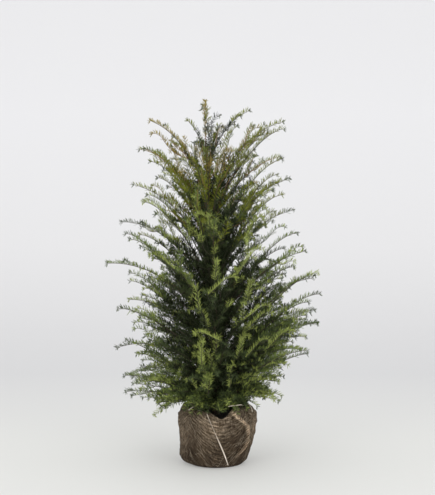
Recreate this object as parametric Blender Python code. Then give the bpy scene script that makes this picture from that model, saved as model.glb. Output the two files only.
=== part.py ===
"""A yew shrub as a nursery lifts it: a leafy plant standing on a root ball wrapped in hessian.

Metres, +Z up. The origin is the centre of the root ball's flat underside, and the front is -Y.
The trunk stands on the soil. Boughs leave it in tiers of three and arch outwards. Each bough's
leafy part is one mass: a leading shoot with side shoots, whose wings have teeth for the needles.
"""

import math
import random
from collections import namedtuple

import bmesh
import bpy
import numpy as np
from mathutils import Quaternion, Vector

# Overall sizes
PLANT_HEIGHT = 1.35
LEADER_LEAN = -0.041
CLEARANCE = 0.0003
SMOOTH_BELOW = math.radians(50)
UP = Vector((0, 0, 1))

# Root ball, outlined down its right side and its left side as (height, radius)
SOIL_TOP = 0.178
UNDERSIDE_RADIUS = 0.102
RIGHT_OUTLINE = ((0.0, UNDERSIDE_RADIUS), (0.01, 0.112), (0.03, 0.121), (0.066, 0.136),
                 (0.113, 0.147), (0.155, 0.152), (0.186, 0.150), (0.213, 0.128), (0.235, 0.108))
LEFT_OUTLINE = ((0.0, UNDERSIDE_RADIUS), (0.01, 0.124), (0.03, 0.135), (0.066, 0.136),
                (0.113, 0.137), (0.155, 0.139), (0.186, 0.139), (0.213, 0.124), (0.235, 0.106))
WALL_LEVELS = (0.0, 0.01, 0.03, 0.075, 0.13, SOIL_TOP)
WRAP_THICKNESS = 0.003
SOIL_SHRINK = 0.0012
BALL_SIDES = 26

# The cloth's rim waves round the ball and sags between the two tied corners at the front
RIM_HEIGHT = 0.216
RIM_WAVE = 0.004
RIM_WAVES = 3
RIM_WAVE_START = 3.0
RIM_DIP = 0.028
DIP_AZIMUTH = math.radians(-81)
DIP_HALF_WIDTH = math.radians(14)

# The two corners of the cloth that are gathered and tied above the soil, as (height, radius)
EAR_AZIMUTHS = {"wrap_ear_left": math.radians(225), "wrap_ear_right": math.radians(-30)}
EAR_DISTANCE = 0.090
EAR_OUTLINE = ((0.0, 0.012), (0.014, 0.0095), (0.026, 0.0072), (0.036, 0.0098), (0.052, 0.0160))
EAR_SIDES = 12
EAR_PLEAT = 0.28
EAR_LEAN = math.radians(14)

# The string across the front of the ball: azimuth and height of its top end and its bottom end
STRING_RADIUS = 0.0015
STRING_LIFT = 0.0007
STRING_TOP = (math.radians(-103), 0.207)
STRING_BOTTOM = (math.radians(-70), 0.016)
STRING_POINTS = 12
STRING_SIDES = 6

# Trunk
TRUNK_TOP = 1.20
TRUNK_FOOT_RADIUS = 0.0115
TRUNK_TOP_RADIUS = 0.0026
FLARE = 0.0065
FLARE_HEIGHT = 0.018
TRUNK_SWAY = 0.008
FOOT_POINTS = (0.0, 0.004, 0.012)
TRUNK_POINTS = 16
TRUNK_SIDES = 10

# Boughs. Each tier: height of its feet, then how far sideways and how high its tips come on the
# right, then on the left. A third bough goes to the front or the back, with sizes between those.
TIERS = (
    (0.250, 0.250, 0.258, 0.228, 0.196),
    (0.290, 0.338, 0.385, 0.350, 0.275),
    (0.350, 0.382, 0.535, 0.368, 0.450),
    (0.430, 0.392, 0.679, 0.350, 0.597),
    (0.540, 0.363, 0.806, 0.408, 0.758),
    (0.655, 0.302, 0.940, 0.376, 0.893),
    (0.780, 0.281, 1.063, 0.315, 1.040),
    (0.905, 0.247, 1.145, 0.302, 1.178),
    (1.020, 0.243, 1.262, 0.240, 1.268),
)
# Tiers above this one have no bare limb: their masses stand on the trunk
LIMB_TIERS = 6
FOOT_STEP = 0.012
SIDE_TURN = math.radians(27)
TURN_JITTER = math.radians(10)
# Upright shoots beside the leader: name, foot height, azimuth, reach and tip height
UPRIGHTS = (
    ("top_left", 1.085, math.radians(196), 0.112, 1.275),
    ("top_right", 1.120, math.radians(-14), 0.128, 1.309),
)
ARCH_START = math.radians(12)
ARCH_END = math.radians(30)
ARCH_PULL = 0.37
ARC_OVER_CHORD = 1.06
BOUGH_SWAY = 0.035
SQUARE_FOOT = 0.004
SQUARE_END = 0.02
BARE_SHARE = 0.17
BOUGH_RADIUS = 0.0020
BOUGH_RADIUS_PER_METRE = 0.0048
BOUGH_TAPER = 0.55
BOUGH_POINTS = 4
BOUGH_SIDES = 6

# Side shoots: the rule is a spiral up the bough, so that they leave it on every side
SIDE_SHOOTS = 6
TOP_SIDE_SHOOTS = 3
FIRST_SHOOT = 0.20
LAST_SHOOT = 0.76
SHARE_JITTER = 0.02
SPIRAL_STEP = math.radians(137.5)
ROLL_JITTER = math.radians(24)
SPREAD = math.radians(46)
SPREAD_JITTER = math.radians(8)
LENGTH_RANGE = (0.85, 1.1)
LENGTH_SHARE = 0.50
LENGTH_LEAST = 0.050
FORWARD_TURN = 0.40
DROOP = math.radians(34)
SHORTEST_SHOOT = 0.045
SHORTEN = 0.85

# Room that a mass keeps to
ROOM_MARGIN = 0.004
LIMB_MARGIN = 0.010
BALL_MARGIN = 0.012
COLLAR_TOP = 0.236
LINE_SAMPLES = 40

# Teeth on a shoot's wings stand for needles, and away from its tip for short twigs as well
NEEDLE = 0.021
TIP_NEEDLE_SHARE = 0.75
SWEEP = math.radians(54)
TWIGS_GROW_OVER = 0.07
WEB_SHARE = 0.55
FIRST_TOOTH = 0.45
CORE_TAPER = 0.5
CORE_RIDGE = 1.25
DRAWN_IN = (1.0, 0.65, 0.4)
WING_ROLL = math.pi / 4

Kind = namedtuple("Kind", "wings core twig plain_tip pitch")
STEM = Kind(wings=3, core=0.0021, twig=0.036, plain_tip=0.09, pitch=0.052)
TOP_STEM = Kind(wings=3, core=0.0021, twig=0.0, plain_tip=0.0, pitch=0.052)
SIDE = Kind(wings=2, core=0.0016, twig=0.022, plain_tip=0.045, pitch=0.050)

FINISHES = {
    "bark": ((0.09, 0.05, 0.03), 0.75),
    "foliage": ((0.055, 0.095, 0.022), 0.5),
    "hessian": ((0.13, 0.09, 0.06), 0.9),
    "soil": ((0.025, 0.017, 0.012), 0.95),
    "string": ((0.48, 0.40, 0.30), 0.8),
}


def remove_all_objects():
    for obj in list(bpy.data.objects):
        bpy.data.objects.remove(obj)


def material(name):
    found = bpy.data.materials.get(name)
    if found:
        return found
    colour, roughness = FINISHES[name]
    made = bpy.data.materials.new(name)
    made.use_nodes = True
    shader = made.node_tree.nodes["Principled BSDF"]
    shader.inputs["Base Color"].default_value = (*colour, 1.0)
    shader.inputs["Roughness"].default_value = roughness
    shader.inputs["Metallic"].default_value = 0.0
    return made


def add_object(name, data, finish):
    obj = bpy.data.objects.new(name, data)
    data.materials.append(material(finish))
    bpy.context.scene.collection.objects.link(obj)
    return obj


def add_limb(name, points, radii, sides, finish):
    """A round limb along the points: a bevelled curve with a radius at each point."""
    curve = bpy.data.curves.new(name, "CURVE")
    curve.dimensions = "3D"
    curve.bevel_depth = 1.0
    curve.bevel_resolution = sides // 2 - 2
    curve.use_fill_caps = True
    spline = curve.splines.new("POLY")
    spline.points.add(len(points) - 1)
    for place, point, radius in zip(spline.points, points, radii):
        place.co = (*point, 1.0)
        place.radius = radius
    return add_object(name, curve, finish)


def finished_mesh(bm, name):
    bmesh.ops.recalc_face_normals(bm, faces=bm.faces)
    mesh = bpy.data.meshes.new(name)
    bm.to_mesh(mesh)
    bm.free()
    return mesh


def skin(rings):
    """A closed mesh through rings of equal count, with its first and last ring capped."""
    bm = bmesh.new()
    made = [[bm.verts.new(point) for point in ring] for ring in rings]
    for low, high in zip(made, made[1:]):
        for i in range(len(low)):
            j = (i + 1) % len(low)
            bm.faces.new((low[i], low[j], high[j], high[i]))
    bm.faces.new(made[0])
    bm.faces.new(made[-1])
    mesh = finished_mesh(bm, "skin")
    mesh.shade_smooth()
    mesh.set_sharp_from_angle(angle=SMOOTH_BELOW)
    return mesh


def around(azimuth, radius, height):
    return Vector((radius * math.cos(azimuth), radius * math.sin(azimuth), height))


# Root ball


def ball_radius(azimuth, height):
    """Outer radius of the wrapped ball, eased from the right outline to the left one."""
    right = np.interp(height, *zip(*RIGHT_OUTLINE))
    left = np.interp(height, *zip(*LEFT_OUTLINE))
    share = 0.5 + 0.5 * math.cos(azimuth)
    return float(share * right + (1 - share) * left)


def rim_height(azimuth):
    off = (azimuth - DIP_AZIMUTH + math.pi) % (2 * math.pi) - math.pi
    sag = RIM_DIP * math.exp(-((off / DIP_HALF_WIDTH) ** 2))
    return RIM_HEIGHT + RIM_WAVE * math.cos(RIM_WAVES * azimuth + RIM_WAVE_START) - sag


def wall_ring(height, shrink):
    azimuths = [2 * math.pi * i / BALL_SIDES for i in range(BALL_SIDES)]
    return [around(a, ball_radius(a, height) - shrink, height) for a in azimuths]


def rim_ring(share, shrink):
    """A ring between the soil's level, share 0, and the rim, share 1."""
    ring = []
    for i in range(BALL_SIDES):
        azimuth = 2 * math.pi * i / BALL_SIDES
        height = SOIL_TOP + share * (rim_height(azimuth) - SOIL_TOP)
        ring.append(around(azimuth, ball_radius(azimuth, height) - shrink, height))
    return ring


def build_soil():
    """The packed earth inside the cloth, with the flat top that the trunk stands on."""
    floor = WRAP_THICKNESS + CLEARANCE
    shrink = WRAP_THICKNESS + SOIL_SHRINK
    rings = [wall_ring(max(height, floor), shrink) for height in WALL_LEVELS]
    add_object("soil_ball", skin(rings), "soil")


def build_wrap():
    """The cloth: a thin shell round the soil, with a flat underside and an uneven open rim."""
    outer = [wall_ring(height, 0.0) for height in WALL_LEVELS]
    rim = [rim_ring(0.5, 0.0), rim_ring(1.0, 0.0)]
    rim += [rim_ring(1.0, WRAP_THICKNESS), rim_ring(0.5, WRAP_THICKNESS)]
    inner = [wall_ring(max(height, WRAP_THICKNESS), WRAP_THICKNESS) for height in WALL_LEVELS]
    add_object("hessian_wrap", skin(outer + rim + inner[::-1]), "hessian")


def build_ear(name, azimuth):
    """A pleated bunch of cloth that stands on the soil, drawn in at its tie."""
    outward = around(azimuth, 1, 0)
    foot = around(azimuth, EAR_DISTANCE, SOIL_TOP + CLEARANCE)
    rings = []
    for height, radius in EAR_OUTLINE:
        centre = foot + UP * height + outward * (math.tan(EAR_LEAN) * height)
        pleat = EAR_PLEAT * height / EAR_OUTLINE[-1][0]
        reaches = [radius * (1 + pleat * (-1) ** i) for i in range(EAR_SIDES)]
        rings.append([
            centre + around(2 * math.pi * i / EAR_SIDES, reach, 0)
            for i, reach in enumerate(reaches)
        ])
    add_object(name, skin(rings), "hessian")


def build_string():
    """The tie that lies across the front of the wrapped ball."""
    points = []
    for share in np.linspace(0, 1, STRING_POINTS):
        azimuth, height = (a + float(share) * (b - a) for a, b in zip(STRING_TOP, STRING_BOTTOM))
        radius = ball_radius(azimuth, height) + STRING_RADIUS + STRING_LIFT
        points.append(around(azimuth, radius, height))
    add_limb("tie_string", points, [STRING_RADIUS] * STRING_POINTS, STRING_SIDES, "string")


# Trunk and boughs


def trunk_centre(height):
    share = max(0.0, (height - SOIL_TOP) / (PLANT_HEIGHT - SOIL_TOP))
    lean = LEADER_LEAN * share**1.5 + TRUNK_SWAY * share * math.sin(2 * math.pi * share)
    depth = TRUNK_SWAY * share * math.sin(3 * math.pi * share)
    return Vector((lean, depth, height))


def trunk_radius(height):
    share = min(1.0, (height - SOIL_TOP) / (TRUNK_TOP - SOIL_TOP))
    taper = TRUNK_FOOT_RADIUS + share * (TRUNK_TOP_RADIUS - TRUNK_FOOT_RADIUS)
    return taper + FLARE * math.exp(-(height - SOIL_TOP) / FLARE_HEIGHT)


def trunk_direction(height):
    step = 0.01
    return (trunk_centre(height + step) - trunk_centre(height - step)).normalized()


def build_trunk():
    """One tapering stem from a level cut on the soil, with a flared foot."""
    foot = SOIL_TOP + CLEARANCE
    heights = [foot + rise for rise in FOOT_POINTS]
    heights += [float(h) for h in np.linspace(foot + 2 * FLARE_HEIGHT, TRUNK_TOP, TRUNK_POINTS)]
    points = [trunk_centre(height) for height in heights]
    points[1].xy = points[0].xy
    radii = [trunk_radius(height) for height in heights]
    add_limb("trunk", points, radii, TRUNK_SIDES, "bark")


class Bough:
    """One bough's line from the bark of the trunk to its tip, arching outwards."""

    def __init__(self, name, foot_height, azimuth, reach, tip_height, seed, has_limb):
        self.name, self.seed, self.has_limb = name, seed, has_limb
        self.is_top = name.startswith("top")
        self.bare = BARE_SHARE if has_limb else 0.0
        centre, tip = trunk_centre(foot_height), around(azimuth, reach, tip_height)
        self.outward = Vector((tip.x - centre.x, tip.y - centre.y, 0)).normalized()
        along = trunk_direction(foot_height)
        square = (self.outward - along * self.outward.dot(along)).normalized()
        self.foot = centre + square * (trunk_radius(foot_height) + CLEARANCE)
        start = self.foot + square * SQUARE_FOOT
        chord = (tip - start).length
        rise = math.asin((tip.z - start.z) / chord)
        pull = chord * ARCH_PULL
        self.corners = (start, start + self.heading(rise + ARCH_START) * pull,
                        tip - self.heading(rise - ARCH_END) * pull, tip)
        sideways = UP.cross(self.outward)
        self.sway = sideways * chord * BOUGH_SWAY * random.Random(seed).uniform(-1, 1)
        self.length = chord * ARC_OVER_CHORD

    def heading(self, elevation):
        return self.outward * math.cos(elevation) + UP * math.sin(elevation)

    def at(self, share):
        a, b, c, d = self.corners
        rest = 1 - share
        point = a * rest**3 + b * 3 * share * rest**2 + c * 3 * share**2 * rest + d * share**3
        return point + self.sway * math.sin(math.pi * share)

    def direction(self, share):
        step = 0.01
        return (self.at(min(1.0, share + step)) - self.at(max(0.0, share - step))).normalized()

    def line(self, first, last, count):
        return [self.at(float(share)) for share in np.linspace(first, last, count)]

    def radius(self, share):
        foot = BOUGH_RADIUS + BOUGH_RADIUS_PER_METRE * self.length
        return foot * (1 - (1 - BOUGH_TAPER) * share / BARE_SHARE)


class Leader(Bough):
    """The leading shoot, which carries on from the top of the trunk."""

    def __init__(self):
        self.name, self.seed, self.has_limb, self.is_top = "leader", 900, False, True
        self.bare = 0.0
        self.outward = around(math.pi, 1, 0)
        self.length = PLANT_HEIGHT - TRUNK_TOP - CLEARANCE

    def at(self, share):
        return trunk_centre(TRUNK_TOP + CLEARANCE + share * self.length)


def tier_boughs(tier, foot, right_reach, right_tip, left_reach, left_tip):
    """A tier's three boughs. Odd tiers have a back one and even tiers a front one."""
    rng = random.Random(tier)
    right_turn = SIDE_TURN + rng.uniform(-1, 1) * TURN_JITTER
    left_turn = SIDE_TURN + rng.uniform(-1, 1) * TURN_JITTER
    third_turn = rng.uniform(-1, 1) * TURN_JITTER
    third, way = ("back", -1) if tier % 2 else ("front", 1)
    rows = (
        ("right", way * right_turn, right_reach / math.cos(right_turn), right_tip),
        ("left", math.pi - way * left_turn, left_reach / math.cos(left_turn), left_tip),
        (third, third_turn - way * math.pi / 2, (right_reach + left_reach) / 2,
         (right_tip + left_tip) / 2),
    )
    for number, (side, azimuth, reach, tip) in enumerate(rows):
        yield Bough(f"{tier}_{side}", foot + FOOT_STEP * number, azimuth, reach, tip,
                    seed=100 * tier + number, has_limb=tier <= LIMB_TIERS)


def all_boughs():
    boughs = [bough for row, sizes in enumerate(TIERS) for bough in tier_boughs(row + 1, *sizes)]
    for number, (name, foot, azimuth, reach, tip) in enumerate(UPRIGHTS):
        boughs.append(Bough(name, foot, azimuth, reach, tip, seed=800 + number, has_limb=False))
    boughs.append(Leader())
    return boughs


def build_limb(bough):
    """The bare inner part of a bough, with its two ends cut square to its line."""
    shares = [float(share) for share in np.linspace(0, bough.bare, BOUGH_POINTS)]
    shares.insert(-1, bough.bare - SQUARE_END)
    points = [bough.foot] + [bough.at(share) for share in shares]
    radii = [bough.radius(0)] + [bough.radius(share) for share in shares]
    add_limb(f"bough_{bough.name}", points, radii, BOUGH_SIDES, "bark")


# Foliage


class Room:
    """Shares the space out between the masses: a point belongs to the nearest bough's mass."""

    def __init__(self, boughs):
        lines = [bough.line(0, 1, LINE_SAMPLES) for bough in boughs]
        self.samples = np.array([point for line in lines for point in line])
        self.owners = np.repeat(np.arange(len(boughs)), LINE_SAMPLES)
        heights = [float(h) for h in np.linspace(SOIL_TOP, TRUNK_TOP, 3 * LINE_SAMPLES)]
        self.trunk = np.array([trunk_centre(height) for height in heights])
        self.trunk_radii = np.array([trunk_radius(height) for height in heights])
        self.limbs = [
            np.array(bough.line(0, bough.bare, LINE_SAMPLES)) if bough.has_limb else None
            for bough in boughs
        ]

    def free(self, points, owner):
        """Which points are the owner's own, clear of the trunk, its limb and the root ball."""
        points = np.array(points)
        far = np.linalg.norm(points[:, None] - self.samples[None], axis=2)
        own = far[:, self.owners == owner].min(axis=1)
        other = far[:, self.owners != owner].min(axis=1)
        bark = np.linalg.norm(points[:, None] - self.trunk[None], axis=2) - self.trunk_radii
        free = (other > own + ROOM_MARGIN) & (other > LIMB_MARGIN)
        free &= bark.min(axis=1) > ROOM_MARGIN
        if self.limbs[owner] is not None:
            limb = np.linalg.norm(points[:, None] - self.limbs[owner][None], axis=2)
            free &= limb.min(axis=1) > LIMB_MARGIN
        for i, (x, y, z) in enumerate(points):
            ball = ball_radius(math.atan2(y, x), float(z)) + BALL_MARGIN
            if z < COLLAR_TOP and math.hypot(x, y) < ball:
                free[i] = False
        return free


def sideways_of(direction):
    """A level direction across the given one, or +X where that is upright."""
    side = direction.cross(UP)
    return side.normalized() if side.length > 0.05 else Vector((1, 0, 0))


def crossings(path, first_heading, roll):
    """At each point, the way ahead and two directions across it that twist as little as they can."""
    ahead = [(b - a).normalized() for a, b in zip(path, path[1:])]
    ahead[0] = first_heading
    side = Quaternion(ahead[0], roll) @ sideways_of(ahead[0])
    for direction in ahead:
        side = (side - direction * side.dot(direction)).normalized()
        yield direction, side, direction.cross(side)


def drawn_in(near, far, free):
    """Each far point, brought towards its near one by set shares until it is free."""
    settled = list(near)
    waiting = list(range(len(near)))
    for share in DRAWN_IN:
        tried = [near[i].lerp(far[i], share) for i in waiting]
        clear = free(tried)
        for i, point, ok in zip(waiting, tried, clear):
            if ok:
                settled[i] = point
        waiting = [i for i, ok in zip(waiting, clear) if not ok]
        if not waiting:
            break
    return settled


def wing_points(path, kind, roll, first_heading, bare_steps, free):
    """Points of the core, of the webs' rims and of the teeth, step by step and wing by wing."""
    count = len(path) - 1
    length = sum((b - a).length for a, b in zip(path, path[1:]))
    cores, near_webs, far_webs, near_teeth, far_teeth = [], [], [], [], []
    for i, (ahead, side, cross) in enumerate(crossings(path, first_heading, roll)):
        share = i / count
        core = kind.core * (1 - CORE_TAPER * share)
        needle = NEEDLE * (1 - (1 - TIP_NEEDLE_SHARE) * max(0.0, 2 * share - 1))
        from_tip = length * (1 - share) - kind.plain_tip
        reach = needle + kind.twig * max(0.0, min(1.0, from_tip / TWIGS_GROW_OVER))
        if i == bare_steps:
            reach *= FIRST_TOOTH
        middle = path[i].lerp(path[i + 1], 0.5)
        for wing in range(kind.wings):
            turn = 2 * math.pi * wing / kind.wings
            out = side * math.cos(turn) + cross * math.sin(turn)
            valley = turn + math.pi / kind.wings
            cores.append(path[i] + (side * math.cos(valley) + cross * math.sin(valley)) * core)
            near_webs.append(path[i] + out * core * CORE_RIDGE)
            far_webs.append(path[i] + out * (WEB_SHARE * reach))
            near_teeth.append(middle + out * core * CORE_RIDGE)
            far_teeth.append(middle + ahead * (reach * math.cos(SWEEP))
                             + out * (reach * math.sin(SWEEP)))
    bare = (bare_steps + 1) * kind.wings
    far_webs[:bare] = near_webs[:bare]
    return cores, drawn_in(near_webs, far_webs, free), drawn_in(near_teeth, far_teeth, free)


def winged_shoot(path, kind, roll, first_heading, free, bare_steps=0):
    """A closed shoot with toothed wings past its bare steps. What isn't free is drawn in."""
    wings, count = kind.wings, len(path) - 1
    points = wing_points(path, kind, roll, first_heading, bare_steps, free)
    bm = bmesh.new()
    cores, webs, teeth = ([bm.verts.new(point) for point in row] for row in points)
    tip = bm.verts.new(path[-1])
    for i in range(count):
        for wing in range(wings):
            rim, tooth = webs[i * wings + wing], teeth[i * wings + wing]
            for valley in (wing, (wing - 1) % wings):
                core = cores[i * wings + valley]
                if i == count - 1:
                    bm.faces.new((core, rim, tooth))
                    bm.faces.new((core, tooth, tip))
                    continue
                next_core, next_rim = cores[(i + 1) * wings + valley], webs[(i + 1) * wings + wing]
                if i < bare_steps:
                    bm.faces.new((core, rim, next_rim, next_core))
                    continue
                bm.faces.new((core, rim, tooth))
                bm.faces.new((core, tooth, next_core))
                bm.faces.new((next_core, tooth, next_rim))
    bm.faces.new([vert for wing in range(wings) for vert in (webs[wing], cores[wing])])
    unused = [vert for vert in bm.verts if not vert.link_faces]
    bmesh.ops.delete(bm, geom=unused, context="VERTS")
    return finished_mesh(bm, "shoot")


def shoot_path(start, heading, length, turn):
    """Points of a shoot that swings its bearing by turn and droops along its length."""
    count = max(2, round(length / SIDE.pitch))
    bearing, lift = math.atan2(heading.y, heading.x), math.asin(heading.z)
    points = [start]
    for i in range(count):
        share = (i + 0.5) / count
        lifted = lift - DROOP * share**2
        step = around(bearing + turn * share, math.cos(lifted), math.sin(lifted))
        points.append(points[-1] + step * (length / count))
    return points


def fitting_path(start, heading, length, turn, free):
    """The shoot's path, shortened until it keeps to its room, or None where too little is left."""
    while length > SHORTEST_SHOOT:
        path = shoot_path(start, heading, length, turn)
        if free(path[1:]).all():
            return path
        length *= SHORTEN
    return None


def side_shoots(bough):
    """Where each side shoot starts, with its heading, length, turn and roll, by the seeded rule."""
    rng = random.Random(bough.seed + 7)
    home = math.atan2(bough.outward.y, bough.outward.x)
    count = TOP_SIDE_SHOOTS if bough.is_top else SIDE_SHOOTS
    for i in range(count):
        share = FIRST_SHOOT + (LAST_SHOOT - FIRST_SHOOT) * i / (count - 1)
        share += rng.uniform(-1, 1) * SHARE_JITTER
        roll = SPIRAL_STEP * i + rng.uniform(-1, 1) * ROLL_JITTER
        spread = SPREAD + rng.uniform(-1, 1) * SPREAD_JITTER
        length = LENGTH_LEAST + LENGTH_SHARE * bough.length * (1 - share)
        ahead = bough.direction(share)
        side = sideways_of(ahead)
        across = side.cross(ahead) * math.cos(roll) + side * math.sin(roll)
        heading = (ahead * math.cos(spread) + across * math.sin(spread)).normalized()
        away = home - math.atan2(heading.y, heading.x)
        turn = ((away + math.pi) % (2 * math.pi) - math.pi) * FORWARD_TURN
        yield share, heading, length * rng.uniform(*LENGTH_RANGE), turn, roll


def stem_of(bough, free):
    """The mass's leading shoot, from its bough's end or the trunk's bark to the tip."""
    kind = TOP_STEM if bough.is_top else STEM
    leafy = bough.length * (1 - bough.bare)
    path = bough.line(bough.bare, 1.0, 1 + max(4, round(leafy / kind.pitch)))
    heading, bare_steps = bough.direction(bough.bare), 0
    if bough.has_limb:
        path[0] = path[0] + heading * CLEARANCE
    elif bough.name != "leader":
        path.insert(0, bough.foot)
        heading, bare_steps = bough.outward, 2
    return winged_shoot(path, kind, math.pi / 2, heading, free, bare_steps)


def fuse(obj, meshes):
    """Joins the meshes to the object by one Boolean union and drops what stays loose."""
    if not meshes:
        return
    shoots = bpy.data.collections.new("shoots")
    bpy.context.scene.collection.children.link(shoots)
    for mesh in meshes:
        shoots.objects.link(bpy.data.objects.new("shoot", mesh))
    union = obj.modifiers.new("fuse", "BOOLEAN")
    union.operation = "UNION"
    union.operand_type = "COLLECTION"
    union.collection = shoots
    union.solver = "EXACT"
    bpy.context.view_layer.objects.active = obj
    bpy.ops.object.modifier_apply(modifier=union.name)
    for shoot in list(shoots.objects):
        bpy.data.objects.remove(shoot)
    bpy.data.collections.remove(shoots)
    keep_largest_piece(obj.data)


def keep_largest_piece(mesh):
    bm = bmesh.new()
    bm.from_mesh(mesh)
    seen, pieces = set(), []
    for face in bm.faces:
        piece, ahead = [], [] if face in seen else [face]
        seen.add(face)
        while ahead:
            here = ahead.pop()
            piece.append(here)
            near = {other for edge in here.edges for other in edge.link_faces} - seen
            seen |= near
            ahead += near
        pieces.append(piece)
    pieces.sort(key=len)
    scraps = [face for piece in pieces[:-1] for face in piece]
    bmesh.ops.delete(bm, geom=scraps, context="FACES")
    bm.to_mesh(mesh)
    bm.free()


def build_mass(number, bough, room):
    """A bough's leafy part: its leading shoot with the side shoots fused on."""

    def free(points):
        return room.free(points, number)

    mass = add_object(f"foliage_{bough.name}", stem_of(bough, free), "foliage")
    meshes = []
    for share, heading, length, turn, roll in side_shoots(bough):
        path = fitting_path(bough.at(share), heading, length, turn, free)
        if path:
            meshes.append(winged_shoot(path, SIDE, roll + WING_ROLL, heading, free))
    fuse(mass, meshes)


def main():
    remove_all_objects()
    build_soil()
    build_wrap()
    for name, azimuth in EAR_AZIMUTHS.items():
        build_ear(name, azimuth)
    build_string()
    build_trunk()
    boughs = all_boughs()
    room = Room(boughs)
    for number, bough in enumerate(boughs):
        if bough.has_limb:
            build_limb(bough)
        build_mass(number, bough, room)


if __name__ == "__main__":
    main()
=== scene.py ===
"""A root-balled yew: bark, twigs, needles, hessian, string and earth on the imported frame.

Metres, +Z up, the front is -Y. The boughs follow the same rule as the part's own limbs, and
the shoots that grow on from them are carried finer here, down to single needles.
"""

import math
import random
from collections import namedtuple
from functools import lru_cache

import bmesh
import bpy
import numpy as np
from bpy.props import FloatProperty, FloatVectorProperty, IntProperty, PointerProperty
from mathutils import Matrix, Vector, noise


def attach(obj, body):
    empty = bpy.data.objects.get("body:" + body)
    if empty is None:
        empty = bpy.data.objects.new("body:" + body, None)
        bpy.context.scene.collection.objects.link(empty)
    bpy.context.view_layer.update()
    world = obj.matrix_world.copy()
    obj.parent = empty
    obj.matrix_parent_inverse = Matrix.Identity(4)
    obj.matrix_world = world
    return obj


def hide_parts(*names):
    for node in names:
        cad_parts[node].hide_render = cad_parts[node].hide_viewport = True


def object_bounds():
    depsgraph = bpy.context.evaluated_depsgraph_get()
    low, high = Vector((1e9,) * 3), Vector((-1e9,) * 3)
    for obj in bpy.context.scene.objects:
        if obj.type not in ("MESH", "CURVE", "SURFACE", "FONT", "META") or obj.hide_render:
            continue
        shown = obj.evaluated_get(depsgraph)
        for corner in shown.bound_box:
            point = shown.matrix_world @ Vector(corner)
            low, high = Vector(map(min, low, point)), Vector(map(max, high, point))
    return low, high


bl_info = {
    "name": "Root-balled yew",
    "version": (1, 0, 0),
    "blender": (4, 5, 0),
    "location": "View3D > Sidebar > Yew",
    "description": "Dresses the frame of a root-balled yew with bark, needles and hessian",
    "category": "Object",
}

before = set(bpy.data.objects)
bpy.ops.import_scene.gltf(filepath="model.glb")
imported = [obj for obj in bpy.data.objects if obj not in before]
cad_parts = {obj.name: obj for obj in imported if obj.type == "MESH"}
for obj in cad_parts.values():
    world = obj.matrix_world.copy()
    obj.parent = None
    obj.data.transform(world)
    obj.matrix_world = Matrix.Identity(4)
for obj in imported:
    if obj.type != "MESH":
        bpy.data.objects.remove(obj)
CAD_BOX = [list(corner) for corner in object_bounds()]

UP = Vector((0, 0, 1))
FULL_TURN = 2 * math.pi


# Sizes and colours that a user would change


def tint(name, description, *default):
    return FloatVectorProperty(name=name, description=description, subtype="COLOR", size=3,
                               min=0.0, max=1.0, default=default)


def size(name, description, default):
    return FloatProperty(name=name, description=description, default=default, min=0.0,
                         unit="LENGTH", precision=4)


class YewNeedles(bpy.types.PropertyGroup):
    """Needles: their size, how closely they stand and their colours by age and place."""

    length: size("Length", "Length of a full-grown needle", 0.0205)
    width: size("Width", "Width of a needle at its middle", 0.0022)
    pitch: size("Pitch", "Distance along a shoot from one needle to the next", 0.0021)
    # Shade: the old needles' tone, darkened as painted shade deep inside the plant
    shade: tint("Shade", "Old needles deep inside the plant", 0.025, 0.034, 0.015)
    mature: tint("Mature", "Needles of the year before", 0.067, 0.089, 0.035)
    # Green: painted light, the lighter tone of needles that stand far out
    green: tint("Green", "Well-lit needles near the outside", 0.132, 0.172, 0.048)
    # Fresh: the colour of new growth, and painted light on the bright plumes and clumps
    fresh: tint("Fresh", "New growth at the tips", 0.262, 0.308, 0.080)
    olive: tint("Olive", "Needles of the upper third", 0.164, 0.184, 0.024)
    bronze: tint("Bronze", "Weathered needles near the top", 0.250, 0.200, 0.045)


class YewWood(bpy.types.PropertyGroup):
    """Trunk, boughs and twigs."""

    relief: size("Relief", "Depth of the bark's plates and furrows", 0.0009)
    bark: tint("Bark", "Trunk and boughs", 0.060, 0.036, 0.022)
    brown: tint("Brown twigs", "Older twigs", 0.046, 0.034, 0.020)
    green: tint("Green twigs", "This year's twigs", 0.050, 0.052, 0.023)
    orange: tint("Orange twigs", "Twigs near the top", 0.200, 0.095, 0.032)


class YewBall(bpy.types.PropertyGroup):
    """The wrapped root ball with its cloth, string and earth."""

    fold: size("Fold", "Height of the gathers that run from the knots", 0.0045)
    thread: size("Thread", "Distance between the threads of the weave", 0.0030)
    cloth_light: tint("Cloth", "Dry hessian", 0.232, 0.184, 0.132)
    cloth_dark: tint("Stained cloth", "Hessian stained by earth", 0.049, 0.032, 0.017)
    fibre: tint("Fibre", "Pale loose fibres on the cloth", 0.300, 0.245, 0.180)
    dark_fibre: tint("Dark fibre", "Stained loose fibres", 0.085, 0.058, 0.038)
    string: tint("String", "The tie strings", 0.780, 0.690, 0.590)
    earth: tint("Earth", "The soil inside the cloth", 0.022, 0.015, 0.010)
    fibres: IntProperty(name="Fibres", description="Loose fibres of each tone on the cloth",
                        default=520, min=1)


class YewStage(bpy.types.PropertyGroup):
    """The floor, the light and the camera."""

    floor: tint("Floor", "The pale floor at the plant's foot", 0.432, 0.431, 0.416)
    overhead: FloatProperty(name="Overhead", description="Strength of the light above",
                            default=24.0, min=0.0, unit="POWER")
    front: FloatProperty(name="Front", description="Strength of the light before the plant",
                         default=42.0, min=0.0, unit="POWER")
    surround: FloatProperty(name="Surround", description="Strength of the light all round",
                            default=0.98, min=0.0)
    distance: size("Camera distance", "From the camera to the trunk", 4.0)
    eye_height: size("Camera height", "Height of the camera over the floor", 1.0)


# The plant's own rule: trunk and boughs as the part has them

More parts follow.
